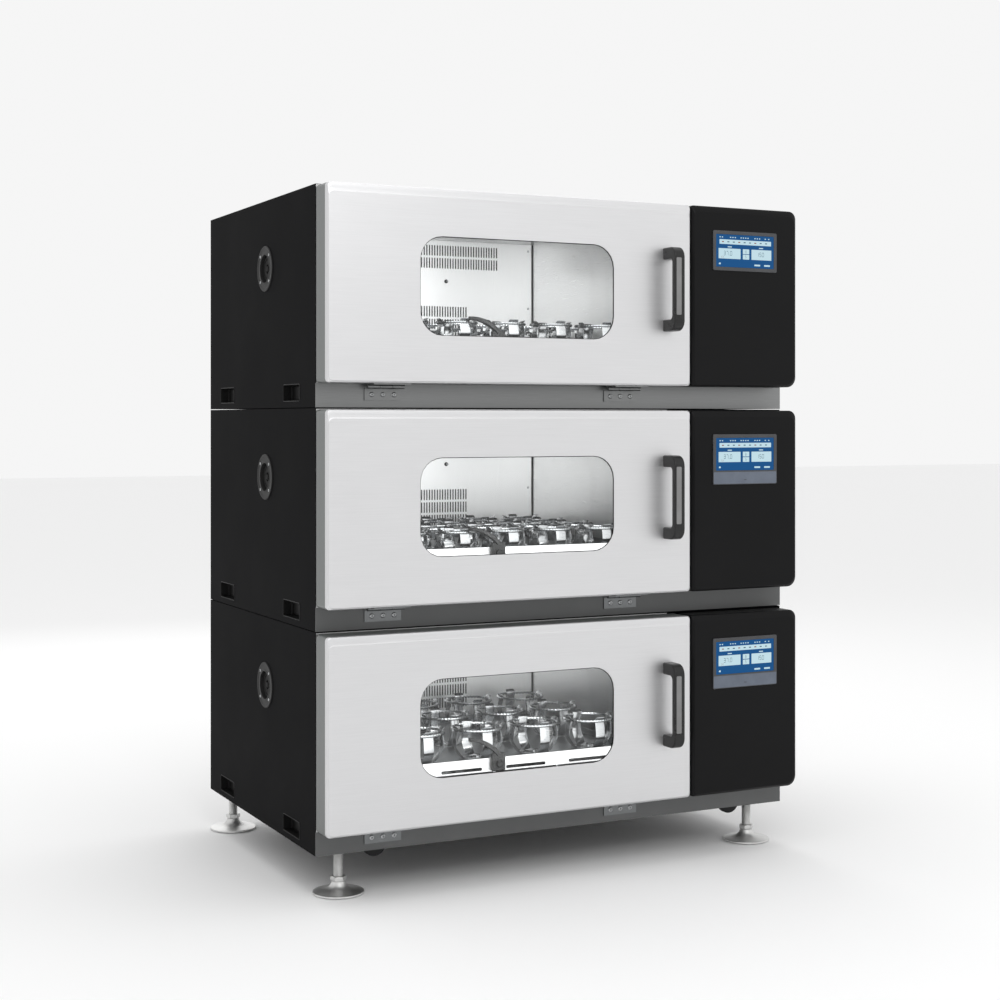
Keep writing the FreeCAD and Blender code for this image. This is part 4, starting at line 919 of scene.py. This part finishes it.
def makeInlets():
    # Appliance inlet and rocker switch in the back of each deck, with the power unit behind them
    x0, x1, _, _, _, _ = spanOf("power_units", deckOrigins["bottom"])
    left = (x0 + x1) / 2 - inletPlate["wide"]
    right = left + inletPlate["wide"]
    for deck in deckNames:
        build = PieceBuilder(deckOrigins[deck])
        addInlet(build, left, right)
        addRocker(build, right + rockerSwitch["gap"])
        addPowerHousing(build, deck)
        build.make(f"{deck}PowerUnit", "cabinet",
                   [fittingPlastic, contactBrass, gripPlastic, housingSteel], ["power_units"], angle=40)


def addInlet(build, left, right):
    z0, z1 = inletPlate["z"], inletPlate["z"] + inletPlate["high"]
    back, inside = caseDepth + inletPlate["proud"], caseDepth - inletPlate["deep"]
    edge, shroud, share = inletPlate["edge"], inletPlate["shroud"], inletPlate["shroudShare"]
    socket = back - inletPlate["socketDeep"]
    rings = []
    for inset, y in ((0, inside), (0, back - edge), (edge, back), (inletPlate["rim"], back),
                     (shroud, back - edge), (shroud, socket)):
        rings.append(frontRing(left + inset, right - inset, z0 + inset * share, z1 - inset * share,
                               max(3 - inset * 0.1, 1), y, inletPlate["cornerSteps"]))
    build.loft(rings, capFirst=True, capLast=True)
    middle = (left + right) / 2
    wide, high = inletPlate["pinHalfWide"], inletPlate["pinHalfHigh"]
    for dx, dz in inletPlate["pins"]:
        build.bar(middle + dx - wide, middle + dx + wide, socket, back - inletPlate["pinShort"],
                  (z0 + z1) / 2 + dz - high, (z0 + z1) / 2 + dz + high, 0.3, 1)


def addRocker(build, left):
    form = rockerSwitch
    right, bottom = left + form["wide"], inletPlate["z"]
    top, back = bottom + form["high"], caseDepth + inletPlate["proud"]
    rings = []
    for inset, y in ((0, caseDepth - inletPlate["deep"]), (0, back - form["edge"]), (form["edge"], back),
                     (form["rim"], back), (form["well"], back - form["wellDeep"])):
        rings.append(frontRing(left + inset, right - inset, bottom + inset, top - inset,
                               max(2 - inset * 0.4, 0.6), y, inletPlate["cornerSteps"]))
    build.loft(rings, capFirst=True, capLast=True)
    inset, topInset, foot = form["inset"], form["topInset"], back - form["foot"]
    rings = []
    for step in range(form["steps"] + 1):
        share = step / form["steps"]
        face = back - (form["dip"] - form["rise"] * abs(share - 0.5))
        x = left + inset + (right - left - 2 * inset) * share
        rings.append([(x, foot, bottom + inset), (x, face, bottom + topInset), (x, face, top - topInset),
                      (x, foot, top - inset)])
    build.loft(rings, finish=2, capFirst=True, capLast=True)


def addPowerHousing(build, deck):
    x0, x1, y0, _, _, _ = spanOf("power_units", deckOrigins[deck])
    form = powerHousing
    y1, sheet, fine = y0 + form["deep"], form["sheet"], form["fineEdge"]
    build.bar(x0, x1, y0, y1, form["bottom"], form["top"], form["edge"], 3)
    for y in (y0, y1 - sheet):
        build.bar(x0, x1, y, y + sheet, sheet, form["legTop"], fine, 3)
    # Black bars on the housing's face stand for its vent slots: painted shade
    for row in range(form["slots"]):
        z = form["slotBottom"] + row * form["slotPitch"]
        build.bar(x0 + form["slotShadeInset"], x1 - form["slotShadeInset"], y0 - form["slotShadeProud"],
                  y0 + form["slotShadeDeep"], z, z + form["slotShadeHigh"], fine, 0)


def makeCase():
    makeCases()
    makeSills()
    makeAccessPorts()
    makeLiftGrips()
    makeInlets()
    print("case and fittings made")


chamberLamp = {"length": 760, "y": 34, "deep": 26, "high": 9, "top": 489.6, "bodyShare": 0.4,
               "bodyEdge": 0.8, "endInset": 12, "sideInset": 4, "lensEdge": 1.5, "overlap": 0.2}
# Radius and height in front of the duct panel
probe = {"place": (663, 709.8, 372), "grommet": ((5.5, 0), (5.5, 2), (4.6, 3.0), (3.4, 3.2), (3.2, 3)),
         "rod": ((2.4, 2), (2.4, 12), (1.8, 13.5), (0.6, 14))}
ductScrews = {"inset": 14, "aboveTray": 10, "heights": (300, 470), "sunk": 0.1, "radius": 3.6, "head": 1.8}
sealantBead = {"size": 3, "leftLap": 0.4, "rightLap": 2.6, "gap": 0.1, "bottom": 99, "top": 489, "edge": 0.9}
# Black sheets behind the duct panel's slots, painted shade for the dark space behind them: bottom, top and
# half width of each sheet
slotShadeSheets = {"y": 711.6, "thick": 0.8, "spans": ((400, 482, 340), (188, 308, 240)), "corner": 2.0,
                 "edge": 0.2}


def makeChambers():
    keepNode("chamber_liners", [chamberSteel])
    keepNode("duct_panels", [ductSteel])
    keepNode("insulation", [boardWool])
    keepNode("drive_units", [castAluminium], 0.8)
    keepNode("climate_units", [castAluminium], 0.6)
    for deck in deckNames:
        for name in ("main_crank", "left_crank", "right_crank"):
            keepNode(f"{deck}_{name}", [crankSteel], 0.8)
        keepNode(f"{deck}_fan_rotor", [fanAluminium])
        x0, x1, _, _, trayBottom, _ = spanOf(f"{deck}_tray", deckOrigins[deck])
        middle = (x0 + x1) / 2
        makeChamberFittings(deck, middle, trayBottom)
        build = PieceBuilder(deckOrigins[deck])
        # Black sheets behind the slots, as painted shade
        for bottom, top, half in slotShadeSheets["spans"]:
            build.frontPlate(middle - half, middle + half, bottom, top, slotShadeSheets["y"],
                             slotShadeSheets["y"] + slotShadeSheets["thick"], slotShadeSheets["corner"],
                             slotShadeSheets["edge"])
        build.make(f"{deck}SlotShadeSheets", "cabinet", [slotShadeSheet])
    print("chambers made")


def makeChamberFittings(deck, middle, trayBottom):
    build = PieceBuilder(deckOrigins[deck])
    lamp, bead = chamberLamp, sealantBead
    half, y0, y1 = lamp["length"] / 2, lamp["y"], lamp["y"] + lamp["deep"]
    lensTop = lamp["top"] - lamp["high"] * lamp["bodyShare"]
    build.bar(middle - half, middle + half, y0, y1, lensTop, lamp["top"], lamp["bodyEdge"])
    build.bar(middle - half + lamp["endInset"], middle + half - lamp["endInset"], y0 + lamp["sideInset"],
              y1 - lamp["sideInset"], lamp["top"] - lamp["high"], lensTop + lamp["overlap"],
              lamp["lensEdge"], 1)
    # Temperature probe through the duct panel, in its grommet
    build.turned(probe["grommet"], probe["place"], (0, -1, 0), 24, 2)
    build.turned(probe["rod"], probe["place"], (0, -1, 0), 20, 3)
    left, right, panelY, _, _, _ = spanOf("duct_panels", deckOrigins[deck])
    for x in (left + ductScrews["inset"], right - ductScrews["inset"]):
        for z in (trayBottom + ductScrews["aboveTray"], *ductScrews["heights"]):
            build.socketScrew((x, panelY - ductScrews["sunk"], z), (0, -1, 0), ductScrews["radius"],
                              ductScrews["head"], 3)
    # Beads of sealant in the chamber's rear corners
    for x in (left - bead["leftLap"], right - bead["rightLap"]):
        build.bar(x, x + bead["size"], panelY - bead["size"], panelY - bead["gap"], bead["bottom"],
                  bead["top"], bead["edge"], 2)
    build.make(f"{deck}ChamberFittings", "cabinet",
               [ductSteel, lampDiffuser, sealRubber, screwSteel])


trayLever = {"postLeft": 488, "postWidth": 36, "postBottom": 148, "postTop": 194, "postDeep": 14,
             "postEdge": 2.5, "knob": ((9, 0), (9, 3), (7, 5), (4, 5.4)), "knobHeight": 166, "armSteps": 12,
             "armOut": 8, "armDrop": 6, "armRise": 38, "armReach": 66, "reachPower": 1.25, "armBack": 30,
             "backPower": 1.6, "armWide": 20, "wideTaper": 0.35, "armThick": 13, "thickTaper": 0.3}
trayRivets = {"count": 5, "pitch": 180, "drop": 6, "radius": 4, "head": 1.6}
trayRimDepth = 6


def makeTray(deck):
    x0, x1, y0, _, z0, z1 = spanOf(f"{deck}_tray", deckOrigins[deck])
    frontEdge = deckOrigins[deck].y + (y0 + trayRimDepth) / 1000

    # Front faces of the tray take the lighter copy, painted light; the rest take the darker copy, painted
    # shade
    def litRimOrShadedFloor(polygon):
        return 1 if polygon.center.y < frontEdge else 0

    keepNode(f"{deck}_tray", [trayFloorShadedMetal, trayRim], 0.5, litRimOrShadedFloor)
    build = PieceBuilder(deckOrigins[deck])
    lever = trayLever
    post, middle = lever["postLeft"], lever["postLeft"] + lever["postWidth"] / 2
    # Clamp post in front of the tray's edge
    build.bar(post, post + lever["postWidth"], y0 - lever["postDeep"], y0 + 0.2, lever["postBottom"],
              lever["postTop"], lever["postEdge"])
    build.turned(lever["knob"], (middle, y0 - lever["postDeep"], lever["knobHeight"]), (0, -1, 0), 28)
    # Bent arm up and over the front clamps
    rings = []
    for step in range(lever["armSteps"] + 1):
        t = step / lever["armSteps"]
        x = middle - lever["armReach"] * t ** lever["reachPower"]
        y = y0 - lever["armOut"] + lever["armBack"] * t ** lever["backPower"]
        z = lever["postTop"] - lever["armDrop"] + lever["armRise"] * math.sin(t * math.pi / 2)
        angle = math.atan2(lever["armRise"] * math.cos(t * math.pi / 2) * 1.2,
                           lever["armReach"] * max(t, 0.15))
        wide = lever["armWide"] * (1 - lever["wideTaper"] * t) / 2
        thick = lever["armThick"] * (1 - lever["thickTaper"] * t) / 2
        ring = []
        for across, through in outline(-wide, wide, -thick, thick, 2.4, 3):
            ring.append((x + through * math.sin(angle), y + across, z + through * math.cos(angle)))
        rings.append(ring)
    build.loft(rings, capFirst=True, capLast=True)
    # Rivets along the tray's front edge
    for step in range(trayRivets["count"]):
        x = (x0 + x1) / 2 + (step - trayRivets["count"] // 2) * trayRivets["pitch"]
        build.socketScrew((x, y0, (z0 + z1) / 2 - trayRivets["drop"]), (0, -1, 0), trayRivets["radius"],
                          trayRivets["head"], 1)
    build.make(f"{deck}TrayLever", f"{deck}_tray", [leverCoat, screwSteel])


# Columns, rows, radius and height of each deck's clamps
clampGrid = {"bottom": (5, 3, 65.0, 86.0), "middle": (6, 4, 51.0, 62.0), "top": (6, 4, 51.0, 62.0)}
clampShape = {"armWidth": 27, "sheet": 1.6, "footShare": 0.62, "kneeShare": 0.45, "lean": 6, "tipRise": 5.4,
              "tipOut": 7.2, "screwRadius": 5.5, "screwHead": 3, "springWire": 3.4, "springTurns": 44,
              "springSides": 6, "springSteps": 3, "springWave": 0.24, "springDrop": 4.5, "springOut": 4.2}


def addClampArm(build, x, y, z, radius, height, quarter):
    # Bent spring strip: out from the foot, up past the knee, in to the waist and out at the tip
    shape = clampShape
    foot = radius * shape["footShare"]
    waist = radius - shape["lean"]
    path = [(foot * 0.55, 1.9, 0.8), (foot - 1, 1.9, 0.9), (foot + 3, 3.0, 0.95),
            ((foot + radius) / 2 + 2, height * 0.18, 1), (radius - 1, height * 0.36, 1),
            (radius, height * shape["kneeShare"], 1), (radius - 2, height * 0.68, 1),
            (waist, height - shape["tipRise"] - 3, 1), (waist + 1, height - shape["tipRise"], 1),
            (waist + shape["tipOut"] * 0.6, height - 1.6, 0.98), (waist + shape["tipOut"], height, 0.9)]
    turn = math.radians(90 * quarter)
    across = (-math.sin(turn), math.cos(turn))
    out = (math.cos(turn), math.sin(turn))
    rings = []
    for step, (r, h, share) in enumerate(path):
        before = path[max(step - 1, 0)]
        after = path[min(step + 1, len(path) - 1)]
        dr, dh = after[0] - before[0], after[1] - before[1]
        size = math.hypot(dr, dh)
        nr, nh = -dh / size * shape["sheet"] / 2, dr / size * shape["sheet"] / 2
        half = shape["armWidth"] / 2 * share
        ring = []
        for side, face in ((-1, 1), (-0.8, 1), (0.8, 1), (1, 1), (1, -1), (0.8, -1), (-0.8, -1), (-1, -1)):
            ease = 0.35 if abs(side) == 1 else 1
            rr, hh = r + nr * face * ease, h + nh * face * ease
            ring.append((x + out[0] * rr + across[0] * half * side, y + out[1] * rr + across[1] * half * side,
                         z + hh))
        rings.append(ring)
    build.loft(rings, capFirst=True, capLast=True)


def addSpringRing(build, x, y, z, radius):
    # Closed coil spring round the arms: a ring whose skin winds round it like the wire
    turns, around = clampShape["springTurns"], clampShape["springSides"]
    stations = turns * clampShape["springSteps"]
    wire = clampShape["springWire"]
    start = len(build.points)
    for station in range(stations):
        sweep = 2 * math.pi * station / stations
        for step in range(around):
            angle = 2 * math.pi * step / around
            reach = wire * (1 + clampShape["springWave"] * math.cos(turns * sweep - angle))
            ring = radius + reach * math.cos(angle)
            build.points.append(Vector((x + ring * math.cos(sweep), y + ring * math.sin(sweep),
                                        z + reach * math.sin(angle))))
    for station in range(stations):
        a = start + station * around
        b = start + (station + 1) % stations * around
        for step in range(around):
            after = (step + 1) % around
            build.addFace((a + step, b + step, b + after, a + after), 1)


def makeClamps(deck):
    columns, rows, radius, height = clampGrid[deck]
    x0, x1, y0, y1, _, _ = spanOf(f"{deck}_tray", deckOrigins[deck])
    _, _, _, _, base, _ = spanOf(f"{deck}_flask_clamps", deckOrigins[deck])
    build = PieceBuilder(deckOrigins[deck])
    foot = radius * clampShape["footShare"]
    for row in range(rows):
        for column in range(columns):
            x = x0 + (column + 0.5) * (x1 - x0) / columns
            y = y0 + (row + 0.5) * (y1 - y0) / rows
            build.turned([(foot, 0), (foot, 1.2), (foot - 0.5, 1.6), (foot * 0.3, 1.6), (foot * 0.26, 1.1)],
                         (x, y, base), (0, 0, 1), 28, 0)
            build.socketScrew((x, y, base + 1.1), (0, 0, 1), clampShape["screwRadius"],
                              clampShape["screwHead"], 2)
            for quarter in range(4):
                addClampArm(build, x, y, base, radius, height, quarter)
            addSpringRing(build, x, y, base + height - clampShape["tipRise"] - clampShape["springDrop"],
                          radius - clampShape["lean"] + clampShape["springOut"])
    build.make(f"{deck}FlaskClamps", f"{deck}_tray", [clampSteel, springSteel, screwSteel],
               [f"{deck}_flask_clamps"], angle=50, weighted=False)


def makeTrays():
    for deck in deckNames:
        makeTray(deck)
        makeClamps(deck)
    print("trays and clamps made")


levelFoot = {"disc": 62.5, "hub": 17, "hubTop": 30, "nut": 36, "nutHigh": 12, "stem": 12, "pitch": 3.0,
             "pad": 3.0}


def makeFeet():
    for corner in ("front_left", "front_right", "rear_left", "rear_right"):
        low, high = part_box(f"{corner}_foot")
        centre = Vector(((low.x + high.x) / 2, (low.y + high.y) / 2, low.z))
        tall = (high.z - low.z) * 1000
        disc, hub = levelFoot["disc"], levelFoot["hub"]
        build = PieceBuilder(centre)
        build.turned([(disc - 9, 0), (disc - 7, 0.2), (disc - 6, 1.2), (disc - 6.2, levelFoot["pad"])],
                     (0, 0, 0), (0, 0, 1), 64, 1)
        # Spun disc that sweeps up in a hollow curve to the hub
        profile = [(disc - 3, 1.0), (disc - 0.6, 1.4), (disc, 3.0), (disc - 0.8, 5.6),
                   (disc - 3, 6.4), (disc * 0.74, 8.0), (disc * 0.55, 10.6), (disc * 0.42, 14.0),
                   (disc * 0.34, 18.5), (hub * 1.08, 23.0), (hub, 26.5), (hub - 1, 29.4),
                   (hub - 3, levelFoot["hubTop"])]
        build.turned(profile, (0, 0, 0), (0, 0, 1), 64, 0)
        top = levelFoot["hubTop"]
        build.hexagon(levelFoot["nut"] - 3, top, top + levelFoot["nutHigh"], (0, 0, 0), (0, 0, 1), 1.6, 0)
        thread = []
        z = top + levelFoot["nutHigh"]
        stem, pitch = levelFoot["stem"], levelFoot["pitch"]
        while z < tall - pitch:
            thread += [(stem - 1.0, z), (stem - 0.9, z + pitch * 0.12), (stem, z + pitch * 0.45),
                       (stem, z + pitch * 0.6), (stem - 0.9, z + pitch * 0.92)]
            z += pitch
        thread += [(stem - 1.5, tall - 0.6), (stem - 2.5, tall)]
        build.turned(thread, (0, 0, 0), (0, 0, 1), 28, 0)
        build.make(f"{corner}Foot", f"{corner}_foot", [footSteel, footRubber],
                   [f"{corner}_foot"], angle=45)


casterWheel = {"radius": 30, "wide": 20, "hub": 15, "boltAcross": 11, "boltFoot": 4.0, "boltTop": 7.6,
               "boltChamfer": 0.9}


def makeCasters():
    for corner in ("front_left", "front_right", "rear_left", "rear_right"):
        keepNode(f"{corner}_caster_fork", [casterSteel], 0.6)
        low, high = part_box(f"{corner}_caster_wheel")
        centre = (low + high) / 2
        radius, half, hub = casterWheel["radius"], casterWheel["wide"] / 2, casterWheel["hub"]
        build = PieceBuilder(centre)
        tyre = [(hub + 3, -half), (radius - 3, -half), (radius - 1, -half + 1.2), (radius, -half + 3),
                (radius, -1.4), (radius - 0.8, -0.8), (radius - 0.8, 0.8), (radius, 1.4), (radius, half - 3),
                (radius - 1, half - 1.2), (radius - 3, half), (hub + 3, half)]
        build.turned(tyre, (0, 0, 0), (0, 1, 0), 48, 0)
        web = [(4.2, -half - 0.6), (8, -half - 0.6), (8.6, -half + 0.4), (hub + 2.6, -half - 0.3),
               (hub + 4, -half + 0.4), (hub + 4, half - 0.4), (hub + 2.6, half + 0.3), (8.6, half - 0.4),
               (8, half + 0.6), (4.2, half + 0.6)]
        build.turned(web, (0, 0, 0), (0, 1, 0), 48, 1)
        build.make(f"{corner}CasterWheel", f"{corner}_caster_wheel",
                   [casterTyre, fittingPlastic], [f"{corner}_caster_wheel"], angle=40)
        bolts = PieceBuilder(centre)
        for side in (-1, 1):
            bolts.hexagon(casterWheel["boltAcross"], half + casterWheel["boltFoot"],
                          half + casterWheel["boltTop"], (0, 0, 0), (0, side, 0), casterWheel["boltChamfer"])
        bolts.make(f"{corner}CasterBolts", f"{corner}_caster_fork", [casterSteel])
    print("feet and casters made")


floorPlane = {"half": 30.0, "drop": 0.0005, "grey": 0.93, "roughness": 0.9}


def makeFloor():
    # In metres, a hair under the feet
    half, drop = floorPlane["half"], floorPlane["drop"]
    mesh = bpy.data.meshes.new("floor")
    corners = [(-half, -half, -drop), (half, -half, -drop), (half, half, -drop), (-half, half, -drop)]
    mesh.from_pydata(corners, [], [(0, 1, 2, 3)])
    floor = bpy.data.objects.new("floor", mesh)
    bpy.context.scene.collection.objects.link(floor)
    material, _, shader, _ = startFinish("paleStudioFloor", roughness=floorPlane["roughness"])
    shader.inputs["Base Color"].default_value = (*[floorPlane["grey"]] * 3, 1)
    mesh.materials.append(material)


placeCamera()
lightStudio()
lightChambers()
makeFloor()
makeDoors()
makeControlBoxes()
makeCase()
makeChambers()
makeTrays()
makeFeet()
makeCasters()
